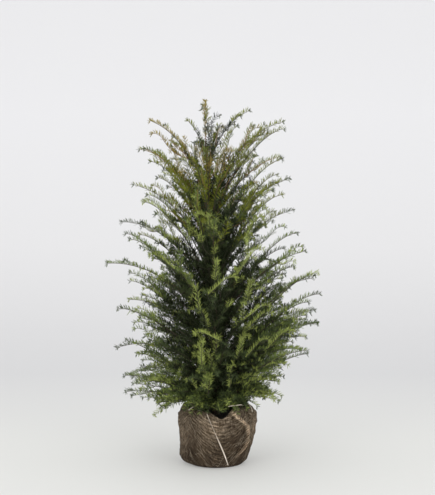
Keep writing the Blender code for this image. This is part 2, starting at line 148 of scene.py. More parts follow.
PLANT_HEIGHT = 1.35
LEADER_LEAN = -0.041
CLEARANCE = 0.0003
SOIL_TOP = 0.178
TRUNK_TOP = 1.20
TRUNK_FOOT_RADIUS = 0.0115
TRUNK_TOP_RADIUS = 0.0026
FLARE = 0.0065
FLARE_HEIGHT = 0.018
TRUNK_SWAY = 0.008
# Each tier: height of its feet, then how far sideways and how high its tips come on the right,
# then on the left
TIERS = (
    (0.250, 0.250, 0.258, 0.228, 0.196),
    (0.290, 0.338, 0.385, 0.350, 0.275),
    (0.350, 0.382, 0.535, 0.368, 0.450),
    (0.430, 0.392, 0.679, 0.350, 0.597),
    (0.540, 0.363, 0.806, 0.408, 0.758),
    (0.655, 0.302, 0.940, 0.376, 0.893),
    (0.780, 0.281, 1.063, 0.315, 1.040),
    (0.905, 0.247, 1.145, 0.302, 1.178),
    (1.020, 0.243, 1.262, 0.240, 1.268),
)
LIMB_TIERS = 6
FOOT_STEP = 0.012
SIDE_TURN = math.radians(27)
TURN_JITTER = math.radians(10)
# Upright shoots beside the leader: name, foot height, azimuth in degrees, reach and tip height
UPRIGHTS = (("top_left", 1.085, 196, 0.112, 1.275), ("top_right", 1.120, -14, 0.128, 1.309))
# How a bough arches: its slope above the straight way at its foot and below it at its tip, and
# how far it holds each slope
TIER_ARCH = (math.radians(12), math.radians(30), 0.37, 0.37)
ARC_OVER_CHORD = 1.06
BOUGH_SWAY = 0.035
SQUARE_FOOT = 0.004
BARE_SHARE = 0.17
BOUGH_RADIUS = 0.0020
BOUGH_RADIUS_PER_METRE = 0.0048
SIDE_SHOOTS = 6
TOP_SIDE_SHOOTS = 3
FIRST_SHOOT = 0.20
LAST_SHOOT = 0.76
SHARE_JITTER = 0.02
SPIRAL_STEP = math.radians(137.5)
ROLL_JITTER = math.radians(24)
SPREAD = math.radians(46)
SPREAD_JITTER = math.radians(8)
LENGTH_RANGE = (0.85, 1.1)
LENGTH_SHARE = 0.50
LENGTH_LEAST = 0.050


def around(azimuth, radius, height):
    return Vector((radius * math.cos(azimuth), radius * math.sin(azimuth), height))


def trunk_centre(height):
    share = max(0.0, (height - SOIL_TOP) / (PLANT_HEIGHT - SOIL_TOP))
    lean = LEADER_LEAN * share**1.5 + TRUNK_SWAY * share * math.sin(2 * math.pi * share)
    depth = TRUNK_SWAY * share * math.sin(3 * math.pi * share)
    return Vector((lean, depth, height))


def trunk_radius(height):
    share = min(1.0, (height - SOIL_TOP) / (TRUNK_TOP - SOIL_TOP))
    taper = TRUNK_FOOT_RADIUS + share * (TRUNK_TOP_RADIUS - TRUNK_FOOT_RADIUS)
    return taper + FLARE * math.exp(-(height - SOIL_TOP) / FLARE_HEIGHT)


def trunk_direction(height):
    step = 0.01
    return (trunk_centre(height + step) - trunk_centre(height - step)).normalized()


class Bough:
    """One bough's line from the bark of the trunk to its tip, arching outwards."""

    def __init__(self, name, foot_height, azimuth, reach, tip_height, seed, has_limb=False,
                 arch=TIER_ARCH):
        self.name, self.seed, self.has_limb = name, seed, has_limb
        self.is_top = name.startswith("top")
        self.bare = BARE_SHARE if has_limb else 0.0
        centre, tip = trunk_centre(foot_height), around(azimuth, reach, tip_height)
        self.outward = Vector((tip.x - centre.x, tip.y - centre.y, 0)).normalized()
        along = trunk_direction(foot_height)
        square = (self.outward - along * self.outward.dot(along)).normalized()
        self.foot = centre + square * (trunk_radius(foot_height) + CLEARANCE)
        start = self.foot + square * SQUARE_FOOT
        chord = (tip - start).length
        rise = math.asin((tip.z - start.z) / chord)
        foot_slope, tip_slope, foot_pull, tip_pull = arch
        self.corners = (start, start + self.heading(rise + foot_slope) * chord * foot_pull,
                        tip - self.heading(rise - tip_slope) * chord * tip_pull, tip)
        sideways = UP.cross(self.outward)
        self.sway = sideways * chord * BOUGH_SWAY * random.Random(seed).uniform(-1, 1)
        self.length = chord * ARC_OVER_CHORD

    def heading(self, elevation):
        return self.outward * math.cos(elevation) + UP * math.sin(elevation)

    def at(self, share):
        a, b, c, d = self.corners
        rest = 1 - share
        point = a * rest**3 + b * 3 * share * rest**2 + c * 3 * share**2 * rest + d * share**3
        return point + self.sway * math.sin(math.pi * share)

    def direction(self, share):
        step = 0.01
        return (self.at(min(1.0, share + step)) - self.at(max(0.0, share - step))).normalized()

    def line(self, first, last, count):
        return [self.at(float(share)) for share in np.linspace(first, last, count)]

    def radius(self):
        return BOUGH_RADIUS + BOUGH_RADIUS_PER_METRE * self.length


class Leader(Bough):
    """The leading shoot, which carries on from the top of the trunk."""

    def __init__(self):
        self.name, self.seed, self.has_limb, self.is_top = "leader", 900, False, True
        self.bare = 0.0
        self.outward = around(math.pi, 1, 0)
        self.foot = trunk_centre(TRUNK_TOP + CLEARANCE)
        self.length = PLANT_HEIGHT - TRUNK_TOP - CLEARANCE

    def at(self, share):
        return trunk_centre(TRUNK_TOP + CLEARANCE + share * self.length)


def tier_boughs(tier, foot, right_reach, right_tip, left_reach, left_tip):
    """A tier's three boughs. Odd tiers have a back one and even tiers a front one."""
    rng = random.Random(tier)
    right_turn = SIDE_TURN + rng.uniform(-1, 1) * TURN_JITTER
    left_turn = SIDE_TURN + rng.uniform(-1, 1) * TURN_JITTER
    third_turn = rng.uniform(-1, 1) * TURN_JITTER
    third, way = ("back", -1) if tier % 2 else ("front", 1)
    rows = (
        ("right", way * right_turn, right_reach / math.cos(right_turn), right_tip),
        ("left", math.pi - way * left_turn, left_reach / math.cos(left_turn), left_tip),
        (third, third_turn - way * math.pi / 2, (right_reach + left_reach) / 2,
         (right_tip + left_tip) / 2),
    )
    for number, (side, azimuth, reach, tip) in enumerate(rows):
        yield Bough(f"{tier}_{side}", foot + FOOT_STEP * number, azimuth, reach, tip,
                    seed=100 * tier + number, has_limb=tier <= LIMB_TIERS)


@lru_cache(maxsize=None)
def all_boughs():
    boughs = [bough for row, sizes in enumerate(TIERS) for bough in tier_boughs(row + 1, *sizes)]
    for number, (name, foot, azimuth, reach, tip) in enumerate(UPRIGHTS):
        boughs.append(Bough(name, foot, math.radians(azimuth), reach, tip, seed=800 + number))
    boughs.append(Leader())
    return boughs


# Shared reckoning


def eased(value, table):
    """The table's second column at this value of its first, straight from row to row."""
    return np.interp(value, *zip(*table))


def in_radians(*rows):
    """The rows with their last number turned from degrees to radians."""
    return tuple((*row[:-1], math.radians(row[-1])) for row in rows)


def signed(angle):
    """The same angle, between half a turn back and half a turn on."""
    return (angle + math.pi) % FULL_TURN - math.pi


def unit(vectors):
    return vectors / np.maximum(np.linalg.norm(vectors, axis=1, keepdims=True), 1e-9)


def swung(side, over, turns):
    """Directions at these turns round a way ahead, from the two that stand across it."""
    return side * np.cos(turns)[:, None] + over * np.sin(turns)[:, None]


def measured(path):
    """The path's steps, their sizes, and the distance along it of each point."""
    steps = np.diff(path, axis=0)
    sizes = np.linalg.norm(steps, axis=1)
    return steps, sizes, np.concatenate([[0], np.cumsum(sizes)])


# Root ball: the cloth's outline and its rim

RIGHT_OUTLINE = ((0.0, 0.102), (0.01, 0.112), (0.03, 0.121), (0.066, 0.136), (0.113, 0.147),
                 (0.155, 0.152), (0.186, 0.150), (0.213, 0.128), (0.235, 0.108))
LEFT_OUTLINE = ((0.0, 0.102), (0.01, 0.124), (0.03, 0.135), (0.066, 0.136), (0.113, 0.137),
                (0.155, 0.139), (0.186, 0.139), (0.213, 0.124), (0.235, 0.106))
RIM_HEIGHT = 0.216
RIM_WAVE = 0.004
RIM_WAVES = 3
RIM_WAVE_START = 3.0
RIM_DIP = 0.028
DIP_AZIMUTH = math.radians(-81)
DIP_HALF_WIDTH = math.radians(14)
# The cloth's four corners, round from the left knot; the first two have gathered ears
KNOT_AZIMUTHS = tuple(math.radians(a) for a in (-135, -30, 62, 148))
KNOT_HEIGHT = 0.218


def ball_radius(azimuth, height):
    """Outer radius of the wrapped ball, eased from the right outline to the left one."""
    share = 0.5 + 0.5 * np.cos(azimuth)
    return share * eased(height, RIGHT_OUTLINE) + (1 - share) * eased(height, LEFT_OUTLINE)


def rim_height(azimuth):
    sag = RIM_DIP * np.exp(-((signed(azimuth - DIP_AZIMUTH) / DIP_HALF_WIDTH) ** 2))
    return RIM_HEIGHT + RIM_WAVE * np.cos(RIM_WAVES * azimuth + RIM_WAVE_START) - sag


# Shared making of meshes and materials


def add_piece(name, mesh, material, replaces=()):
    piece = bpy.data.objects.new(name, mesh)
    bpy.context.scene.collection.objects.link(piece)
    mesh.materials.append(material)
    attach(piece, "root")
    if replaces:
        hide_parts(*replaces)
    return piece


def mesh_from_arrays(name, points, triangles):
    """A mesh of many small things, from one array of points and one of triangles."""
    mesh = bpy.data.meshes.new(name)
    mesh.vertices.add(len(points))
    mesh.vertices.foreach_set("co", np.asarray(points, np.float32).ravel())
    mesh.loops.add(3 * len(triangles))
    mesh.loops.foreach_set("vertex_index", np.asarray(triangles, np.int32).ravel())
    mesh.polygons.add(len(triangles))
    mesh.polygons.foreach_set("loop_start", np.arange(0, 3 * len(triangles), 3, dtype=np.int32))
    mesh.update(calc_edges=True)
    return mesh


def mesh_from_tubes(name, tubes, smooth=True):
    """One mesh from the points and triangles of many tubes."""
    counts = [len(points) for points, _ in tubes]
    offsets = np.cumsum([0] + counts[:-1])
    triangles = [rows + offset for (_, rows), offset in zip(tubes, offsets)]
    mesh = mesh_from_arrays(name, np.vstack([points for points, _ in tubes]), np.vstack(triangles))
    if smooth:
        mesh.shade_smooth()
    return mesh


def mesh_from_bmesh(name, bm):
    bmesh.ops.recalc_face_normals(bm, faces=bm.faces)
    mesh = bpy.data.meshes.new(name)
    bm.to_mesh(mesh)
    bm.free()
    mesh.shade_smooth()
    return mesh


def values_of(items, field, width=1, kind=np.int32):
    """One field of a mesh's vertices, loops or faces as an array."""
    values = np.empty(width * len(items), kind)
    items.foreach_get(field, values)
    return values


def crossways(directions):
    """For each direction, a level one across it and the one that points up from it."""
    side = np.cross(directions, (0.0, 0.0, 1.0))
    length = np.linalg.norm(side, axis=1, keepdims=True)
    side = np.where(length > 0.02, side / np.maximum(length, 1e-9), (1.0, 0.0, 0.0))
    side -= directions * (side * directions).sum(1, keepdims=True)
    side /= np.linalg.norm(side, axis=1, keepdims=True)
    return side, np.cross(side, directions)


def tube(path, radii, sides):
    """Points and triangles of a closed tube along the path, which ends in a point."""
    side, over = crossways(unit(np.diff(path, axis=0)))
    turns = (FULL_TURN * np.arange(sides) / sides)[:, None]
    rims = side[:, None] * np.cos(turns) + over[:, None] * np.sin(turns)
    rings = path[:-1, None] + rims * np.asarray(radii)[:-1, None, None]
    points = np.vstack([rings.reshape(-1, 3), path[-1:], path[:1]])
    first = np.arange(sides)
    after = (first + 1) % sides
    last = sides * (len(path) - 2)
    rows = np.arange(0, last, sides)[:, None]
    low, near = (rows + first).ravel(), (rows + after).ravel()
    tip = np.full(sides, last + sides)
    corners = ((low, near, near + sides), (low, near + sides, low + sides),
               (last + first, last + after, tip), (after, first, tip + 1))
    return points, np.vstack([np.column_stack(three) for three in corners])


def scaled(colour, factor):
    return tuple(min(1.0, channel * factor) for channel in colour)


class Nodes:
    """A material's node tree, with short calls that add a node and link its inputs."""

    def __init__(self, name, roughness=0.6, **sockets):
        self.material = bpy.data.materials.new(name)
        self.material.use_nodes = True
        self.tree = self.material.node_tree
        self.shader = self.tree.nodes["Principled BSDF"]
        self.shader.inputs["Roughness"].default_value = roughness
        for socket, value in sockets.items():
            self.shader.inputs[socket.replace("_", " ")].default_value = value

    def add(self, kind, inputs=(), **settings):
        node = self.tree.nodes.new(kind)
        for key, value in settings.items():
            setattr(node, key, value)
        for socket, value in dict(inputs).items():
            self.put(node.inputs[socket], value)
        return node.outputs

    def put(self, socket, value):
        if isinstance(value, bpy.types.NodeSocket):
            self.tree.links.new(value, socket)
        else:
            socket.default_value = value

    def object_place(self):
        return self.add("ShaderNodeTexCoord")["Object"]

    def stretched(self, place, *scale):
        return self.add("ShaderNodeMapping", {"Vector": place, "Scale": scale})["Vector"]

    def weave_place(self, *scale):
        return self.stretched(self.add("ShaderNodeUVMap", uv_map="weave")["UV"], *scale)

    def axes(self):
        return self.add("ShaderNodeSeparateXYZ", {"Vector": self.object_place()})

    def low_height(self):
        """The height over the floor, which reaches 1 at a quarter of a metre."""
        return self.math("MULTIPLY", self.axes()["Z"], 4.0)

    def noise(self, scale, detail=3.0, roughness=0.5, place=None):
        """Noise over the object's own coordinates, or over another place."""
        place = self.object_place() if place is None else place
        inputs = {"Vector": place, "Scale": scale, "Detail": detail, "Roughness": roughness}
        return self.add("ShaderNodeTexNoise", inputs)["Fac"]

    def wave(self, place, scale, direction, distortion):
        inputs = {"Vector": place, "Scale": scale, "Distortion": distortion, "Detail Scale": 2.0}
        return self.add("ShaderNodeTexWave", inputs, bands_direction=direction)["Fac"]

    def ramp(self, value, *stops):
        node = self.tree.nodes.new("ShaderNodeValToRGB")
        self.put(node.inputs["Fac"], value)
        elements = node.color_ramp.elements
        while len(elements) < len(stops):
            elements.new(0.5)
        for element, (position, colour) in zip(elements, stops):
            element.position = position
            element.color = (*colour, 1.0)
        return node.outputs["Color"]

    def mix(self, share, first, second, blend="MIX"):
        colours = [(*c, 1.0) if isinstance(c, tuple) else c for c in (first, second)]
        return self.add("ShaderNodeMix", zip((0, 6, 7), (share, *colours)), data_type="RGBA",
                        blend_type=blend)[2]

    def toned(self, share, colour, value, *stops):
        """The colour multiplied, by this share, with a ramp over the value."""
        return self.mix(share, colour, self.ramp(value, *stops), blend="MULTIPLY")

    def math(self, operation, *values):
        return self.add("ShaderNodeMath", enumerate(values), operation=operation)[0]

    def colour(self, value):
        self.put(self.shader.inputs["Base Color"], value)

    def bump(self, height, distance):
        inputs = {"Height": height, "Distance": distance, "Strength": 1.0}
        self.put(self.shader.inputs["Normal"], self.add("ShaderNodeBump", inputs)["Normal"])

    def patches(self, colour, patch, *levels):
        """The colour in patches; each level is a value of the noise and a factor there."""
        return self.ramp(patch, *((level, scaled(colour, factor)) for level, factor in levels))


# Growing the shoots

STEP = 0.010
SHOOT_RADIUS = 0.00100
SHOOT_RADIUS_PER_METRE = 0.0045
TIP_RADIUS = 0.00070
WANDER = 0.07
WANDER_TURNS = 1.2
TURN_RATE = 1.5
BEND_POWER = 1.2
# The last stretch of a shoot, over which it arches until its tip dips a little
ARCH_OVER = 0.065
ARCH_OVER_SHARE = 0.45
TIP_DIP = 0.22
AIM_SHARE = 0.80
# The lift that shoots turn towards, by the height of the bough's foot
LIFTS = in_radians((0.24, 4), (0.30, 26), (0.42, 44), (0.70, 57), (1.10, 70))
# The slope from foot to tip of the boughs between the tiers, by the tip's height
RISES = in_radians((0.20, -6), (0.30, 8), (0.42, 27), (0.55, 41), (0.80, 49), (1.10, 57),
                   (1.30, 66))
# The crown's radius by height, which tells how far out a shoot stands
CROWN = ((0.18, 0.30), (0.25, 0.33), (0.30, 0.36), (0.50, 0.37), (0.70, 0.39), (0.80, 0.38),
         (0.90, 0.35), (1.00, 0.30), (1.20, 0.25), (1.28, 0.14), (1.36, 0.05))
# The plant thins out towards its top: the share of shoots that stand there, by height
DENSITY = ((0.40, 1.0), (0.62, 0.86), (0.92, 0.80), (1.15, 0.28))
# How free boughs bend: their slope over the straight way at the foot, the rise at which it is
# full, how far below level their tips nod, and how far they hold each slope
FREE_SLOPE = math.radians(24)
FREE_SLOPE_FROM = math.radians(60)
NOD = math.radians(7)
FREE_PULLS = (0.50, 0.14)
BETWEEN_BOUGHS = 104
BETWEEN_TIPS = (0.22, 1.22)
BETWEEN_REACH = (0.40, 0.80)
BETWEEN_CROWDING = 1.3
BETWEEN_TOP = TRUNK_TOP - 0.03
# The crown's sides above the tiers, as a row of TIERS
CROWN_TOP = (1.20, 0.070, 1.330, 0.085, 1.325)
SKIRT_BOUGHS = 15
SKIRT_TIPS = (0.218, 0.285)
SKIRT_REACH = (0.14, 0.24)
SKIRT_FEET = 0.035
# Low boughs in front that hang over the rim beside the dip: azimuth in degrees, reach, tip height
FRONT_SKIRT = ((-142, 0.150, 0.214), (-126, 0.150, 0.206), (-114, 0.146, 0.208),
               (-101, 0.138, 0.212), (-58, 0.140, 0.222), (-44, 0.160, 0.220))
LOWEST_FOOT = 0.234
FRONT_SKIRT_FOOT = LOWEST_FOOT + 0.01
# From the first of these seeds on, stems are drawn in full; from the second on, the boughs are
# the scene's own
TOP_SEEDS = 800
OWN_SEEDS = 1000
# How far along their line the tiers' own stems are drawn, which leaves room for the needles
TIER_STEM_END = 0.965
STEM_ENDS = {"5_right": 0.90, "5_left": 0.95, "6_right": 1.0, "6_left": 1.0}
# Side shoots between the main ones, closer to the bough's own heading, and fewer near the top
EXTRA_SHOOTS = 7
TOP_SHOOTS_SHARE = 0.25
TOP_SHOOTS_FROM = 0.6
TOP_SHOOTS_OVER = 0.6
EXTRA_FIRST = 0.10
EXTRA_LAST = 0.60
EXTRA_SPREAD = math.radians(34)
EXTRA_RANGE = (0.45, 0.85)
SLIM_FROM = 0.45
SLIM_SHARE = 0.30
PLUME = (0.10, 0.17)
TWIG_PITCH = 0.019
STEM_TWIG_RANGE = (0.025, 0.070)
SIDE_TWIG_RANGE = (0.022, 0.048)
TWIG_SPREAD = math.radians(46)
TWIG_ROLL = (20, 140)
TWIG_VARIETY = (0.5, 1.25)
# How far from its foot each kind of shoot bears its first needle and its first twig
STEM_BARE = 0.010
INNER_BARE = 0.012
STEM_TWIGS_FROM = 0.015
SIDE_TWIGS_FROM = 0.012
LIMB_TWIGS_FROM = 0.010
INNER_FIRST = SOIL_TOP + 0.055
INNER_LAST = TRUNK_TOP - 0.02
INNER_PITCH = 0.010
INNER_RANGE = (0.07, 0.15)
INNER_LIFT = math.radians(38)
INNER_LIFT_VARIETY = (0.2, 1.3)
INNER_NARROWING = 0.45
INNER_PLUME = 0.020
# Boughs whose tips show at the plant's edges between the tiers: foot, sideways reach, tip height
EDGE_BOUGHS = (
    (0.900, 0.249, 1.238), (0.770, 0.253, 1.133), (0.640, 0.242, 0.999), (0.460, 0.312, 0.853),
    (0.330, 0.364, 0.703), (0.300, 0.400, 0.696), (0.280, 0.383, 0.636), (0.250, 0.379, 0.560),
    (0.260, 0.375, 0.530), (0.240, 0.368, 0.501), (0.245, 0.330, 0.440), (0.250, 0.353, 0.385),
    (0.245, 0.250, 0.330), (0.240, 0.236, 0.345), (0.800, -0.240, 1.120), (0.680, -0.262, 1.000),
    (0.480, -0.318, 0.838), (0.420, -0.335, 0.700), (0.360, -0.350, 0.595),
    (0.250, -0.355, 0.430), (0.245, -0.330, 0.350), (0.240, -0.325, 0.295),
    (0.236, -0.250, 0.250), (0.470, -0.350, 0.851), (0.240, -0.292, 0.322),
    (0.300, -0.322, 0.550), (0.620, 0.228, 1.040), (0.240, -0.318, 0.280),
    (0.236, -0.326, 0.292), (0.740, -0.222, 1.064), (0.640, -0.268, 0.974),
    (0.400, -0.330, 0.672), (0.800, -0.192, 1.090), (0.600, -0.292, 0.850), (0.480, 0.285, 0.738),
    (0.700, 0.218, 1.018), (0.270, 0.338, 0.612), (0.720, 0.236, 1.076), (0.880, -0.262, 1.166),
    (0.700, -0.184, 1.030), (0.255, 0.330, 0.560),
)
EDGE_TURN = (0.15, 0.5)
# Bright plumes that stand out from the body: how many all round, between which shares of the
# crown's radius and which heights they start, how far to the front or back, length and lift
PLUMES = 64
PLUMES_START = (0.40, 0.74)
PLUMES_HEIGHTS = (0.28, 0.98)
PLUMES_DEPTH = 0.74
PLUMES_HOLLOW = 0.3
PLUME_LENGTH = (0.08, 0.13)
PLUME_LIFT = (math.radians(45), math.radians(76))
PLUME_TURN = 0.5
# The ones that are seen in front: sideways place and height of the foot, length, lean in degrees
FRONT_PLUMES = in_radians(
    (0.040, 0.815, 0.150, -34), (0.083, 0.706, 0.165, 33), (-0.075, 0.609, 0.120, -5),
    (-0.046, 0.638, 0.140, 46), (0.079, 0.581, 0.130, 48), (0.026, 0.494, 0.120, -60),
    (-0.036, 0.398, 0.110, -12), (0.064, 0.311, 0.130, 6), (-0.017, 0.326, 0.080, -4),
    (-0.099, 0.300, 0.070, -30), (0.131, 0.398, 0.130, 38), (0.170, 0.417, 0.140, 40),
    (-0.152, 0.700, 0.120, -48), (-0.036, 0.300, 0.070, 10), (0.120, 0.500, 0.130, 42),
    (-0.090, 0.860, 0.120, -22), (0.062, 0.720, 0.120, -10), (0.090, 0.600, 0.110, 20),
    (0.100, 0.860, 0.130, 26),
)
FRONT_TILT = 0.45
FRONT_DEPTH = 0.60
# How much less than the others the depth counts when a plume looks for its foot
DEPTH_WEIGHT = 0.35

STEM, SIDE, TWIG, INNER, BRIGHT = range(5)
Shoot = namedtuple("Shoot", "path radius rank bare upright")


def density_at(height):
    return float(eased(height, DENSITY))


def jittered(rng, middle, jitter):
    return middle + rng.uniform(-1, 1) * jitter


def shoot_path(start, heading, length, aim, rng, dip=TIP_DIP):
    """Points along a shoot that turns from its heading towards its aim and arches over."""
    count = max(3, round(length / STEP))
    shares = (np.arange(count) + 0.5)[:, None] / count
    turned = AIM_SHARE * np.clip(TURN_RATE * shares, 0, 1)
    ways = np.array(heading) * (1 - turned) + np.array(aim) * turned
    level = np.array(Vector(aim).cross(UP))
    phase = rng.uniform(0, FULL_TURN)
    ways += level * WANDER * np.sin(FULL_TURN * WANDER_TURNS * shares + phase)
    stretch = min(ARCH_OVER, ARCH_OVER_SHARE * length)
    bend = np.clip(1 - (1 - shares) * length / stretch, 0, 1) ** BEND_POWER
    ways[:, 2:] = ways[:, 2:] * (1 - bend) - dip * bend
    ways /= np.linalg.norm(ways, axis=1, keepdims=True)
    return np.vstack([start, np.array(start) + np.cumsum(ways * (length / count), axis=0)])


def new_shoot(path, rank, bare=0.0, upright=False):
    length = measured(path)[1].sum()
    return Shoot(path, SHOOT_RADIUS + SHOOT_RADIUS_PER_METRE * length, rank, bare, upright)


def branching(ahead, roll, spread):
    """A heading that leaves the way ahead by spread, on the side that roll gives."""
    side = ahead.cross(UP)
    side = side.normalized() if side.length > 0.05 else Vector((1, 0, 0))
    across = side.cross(ahead) * math.cos(roll) + side * math.sin(roll)
    return (ahead * math.cos(spread) + across * math.sin(spread)).normalized()


def aim_of(bough):
    lift = float(eased(bough.foot.z, LIFTS))
    return bough.outward * math.cos(lift) + UP * math.sin(lift)


def side_shoot(bough, share, turn, spread, lengths, rng):
    """Where on the bough a side shoot springs, its heading and its length."""
    roll = jittered(rng, SPIRAL_STEP * turn, ROLL_JITTER)
    spread = jittered(rng, spread, SPREAD_JITTER)
    length = LENGTH_LEAST + LENGTH_SHARE * bough.length * (1 - share)
    return share, branching(bough.direction(share), roll, spread), length * rng.uniform(*lengths)


def rule_side_shoots(bough):
    """The bough's main side shoots, drawn as the part draws them."""
    rng = random.Random(bough.seed + 7)
    count = TOP_SIDE_SHOOTS if bough.is_top else SIDE_SHOOTS
    for i in range(count):
        middle = FIRST_SHOOT + (LAST_SHOOT - FIRST_SHOOT) * i / (count - 1)
        share = jittered(rng, middle, SHARE_JITTER)
        yield side_shoot(bough, share, i, SPREAD, LENGTH_RANGE, rng)


def extra_side_shoots(bough, count, rng):
    for i in range(count):
        share = EXTRA_FIRST + (EXTRA_LAST - EXTRA_FIRST) * (i + rng.uniform(0, 0.8)) / count
        yield side_shoot(bough, share, i + 0.5, EXTRA_SPREAD, EXTRA_RANGE, rng)


def twigs_on(path, first, plume, lengths, aim, rng):
    """Short twigs, left and right by turns, up to the plume at the shoot's end."""
    steps, _, reach = measured(path)
    stop = reach[-1] - plume
    count = max(0, round((stop - first) / TWIG_PITCH * density_at(path[-1][2])))
    for i in range(count):
        along = first + (stop - first) * (i + rng.uniform(0, 0.9)) / count
        index = max(0, int(np.searchsorted(reach, along)) - 1)
        ahead = Vector(steps[index]).normalized()
        way = 1 if i % 2 else -1
        roll = way * math.radians(rng.uniform(*TWIG_ROLL))
        heading = branching(ahead, roll, jittered(rng, TWIG_SPREAD, 2 * SPREAD_JITTER))
        length = lengths[1] + (lengths[0] - lengths[1]) * along / reach[-1]
        length *= rng.uniform(*TWIG_VARIETY)
        target = (Vector(aim) + heading).normalized()
        twig = shoot_path(path[index], heading, length, target, rng, TIP_DIP / 2)
        yield new_shoot(clear_part(twig), TWIG)


def grow_mass(bough):
    """All the shoots of one bough: its stem, its side shoots and their twigs."""
    rng = random.Random(bough.seed + 31)
    count = max(6, round(bough.length * (1 - bough.bare) / STEP))
    end = STEM_ENDS.get(bough.name, TIER_STEM_END) if bough.seed < TOP_SEEDS else 1.0
    stem = clear_part(np.array(bough.line(bough.bare, end, count)), stem=True)
    end = bough.bare + (end - bough.bare) * len(stem) / count
    is_leader = bough.name == "leader"
    if not bough.has_limb and not is_leader:
        stem = np.vstack([bough.foot - bough.outward * CLEARANCE * 4, stem])
    aim = aim_of(bough)
    shoots = [new_shoot(stem, STEM, bare=STEM_BARE, upright=is_leader)]
    shoots += twigs_on(stem, STEM_TWIGS_FROM, rng.uniform(*PLUME), STEM_TWIG_RANGE, aim, rng)
    topness = float(np.clip((stem[-1][2] - TOP_SHOOTS_FROM) / TOP_SHOOTS_OVER, 0, 1))
    fewer = 1 - (1 - TOP_SHOOTS_SHARE) * topness
    rows = list(extra_side_shoots(bough, round(EXTRA_SHOOTS * fewer), rng))
    if bough.seed < OWN_SEEDS:
        rows += rule_side_shoots(bough)
    for share, heading, length in rows:
        if share > end:
            continue
        length *= 1 - (1 - SLIM_SHARE) * max(0.0, share - SLIM_FROM) / (LAST_SHOOT - SLIM_FROM)
        path = clear_part(shoot_path(bough.at(share), heading, length, aim, rng))
        shoots.append(new_shoot(path, SIDE))
        plume = rng.uniform(*PLUME)
        shoots += twigs_on(path, SIDE_TWIGS_FROM, plume, SIDE_TWIG_RANGE, aim, rng)
    return shoots


def sides_at(tip_height, azimuth):
    """The crown's reach at this tip height, eased from the right side's to the left side's."""
    rows = np.array([*TIERS, CROWN_TOP]).T
    right = float(np.interp(tip_height, rows[2], rows[1]))
    left = float(np.interp(tip_height, rows[4], rows[3]))
    side = 0.5 + 0.5 * math.cos(azimuth)
    return side * right + (1 - side) * left


def free_bough(name, foot, azimuth, reach, tip, seed):
    """A bough between the tiers: the steeper it rises, the more it bends, to a nodding tip."""
    rise = math.atan2(tip - foot, reach)
    slope = FREE_SLOPE * min(1.0, max(0.0, rise / FREE_SLOPE_FROM))
    return Bough(name, foot, azimuth, reach, tip, seed, arch=(slope, rise + NOD, *FREE_PULLS))


def between_boughs():
    """Boughs between the tiers, in a spiral up the trunk, whose tips fill the crown."""
    rng = random.Random(62)
    lowest, highest = BETWEEN_TIPS
    for i in range(BETWEEN_BOUGHS):
        share = ((i + 0.5) / BETWEEN_BOUGHS) ** BETWEEN_CROWDING
        tip = lowest + (highest - lowest) * share
        azimuth = jittered(rng, SPIRAL_STEP * i, TURN_JITTER)
        reach = sides_at(tip, azimuth) * rng.uniform(*BETWEEN_REACH)
        rise = float(eased(tip, RISES))
        foot = min(max(LOWEST_FOOT, tip - reach * math.tan(rise)), BETWEEN_TOP)
        yield free_bough(f"between_{i}", foot, azimuth, reach, tip, OWN_SEEDS + i)


def skirt_boughs():
    """Low boughs all round that hang over the rim of the wrapped ball and hide the trunk's foot."""
    rng = random.Random(64)
    for i in range(SKIRT_BOUGHS):
        azimuth = jittered(rng, SPIRAL_STEP * i, TURN_JITTER)
        foot = LOWEST_FOOT + rng.uniform(0, SKIRT_FEET)
        reach, tip = rng.uniform(*SKIRT_REACH), rng.uniform(*SKIRT_TIPS)
        yield Bough(f"skirt_{i}", foot, azimuth, reach, tip, seed=1300 + i)
    for i, (azimuth, reach, tip) in enumerate(FRONT_SKIRT):
        yield Bough(f"front_{i}", FRONT_SKIRT_FOOT, math.radians(azimuth), reach, tip,
                    seed=1340 + i)


def edge_boughs():
    """Boughs whose tips stand clear on the left and the right."""
    rng = random.Random(63)
    for i, (foot, sideways, tip) in enumerate(EDGE_BOUGHS):
        turn = rng.uniform(*EDGE_TURN) * (1 if i % 2 else -1)
        azimuth = turn if sideways > 0 else math.pi - turn
        yield free_bough(f"edge_{i}", foot, azimuth, abs(sideways) / math.cos(turn), tip,
                         1200 + i)


def grow_inner(rng):
    """Short shoots on the trunk and the bare limbs, which close the middle of the plant."""
    shoots = []
    for i, height in enumerate(np.arange(INNER_FIRST, INNER_LAST, INNER_PITCH)):
        azimuth = jittered(rng, SPIRAL_STEP * i, ROLL_JITTER)
        lift = INNER_LIFT * rng.uniform(*INNER_LIFT_VARIETY)
        heading = around(azimuth, math.cos(lift), math.sin(lift))
        room = 1 - INNER_NARROWING * (height - SOIL_TOP) / (TRUNK_TOP - SOIL_TOP)
        length = rng.uniform(*INNER_RANGE) * room
        if rng.random() > density_at(height + length):
            continue
        path = clear_part(shoot_path(trunk_centre(float(height)), heading, length, heading, rng))
        shoots.append(new_shoot(path, INNER, bare=INNER_BARE))
        shoots += twigs_on(path, STEM_TWIGS_FROM, INNER_PLUME, SIDE_TWIG_RANGE, heading, rng)
    for bough in all_boughs():
        if bough.has_limb:
            limb = np.array(bough.line(0.02, bough.bare, 8))
            aim = aim_of(bough)
            shoots += twigs_on(limb, LIMB_TWIGS_FROM, 0.0, STEM_TWIG_RANGE, aim, rng)
    return shoots


def plume_shoot(start, heading, length, rng):
    return new_shoot(clear_part(shoot_path(start, heading, length, heading, rng)), BRIGHT)


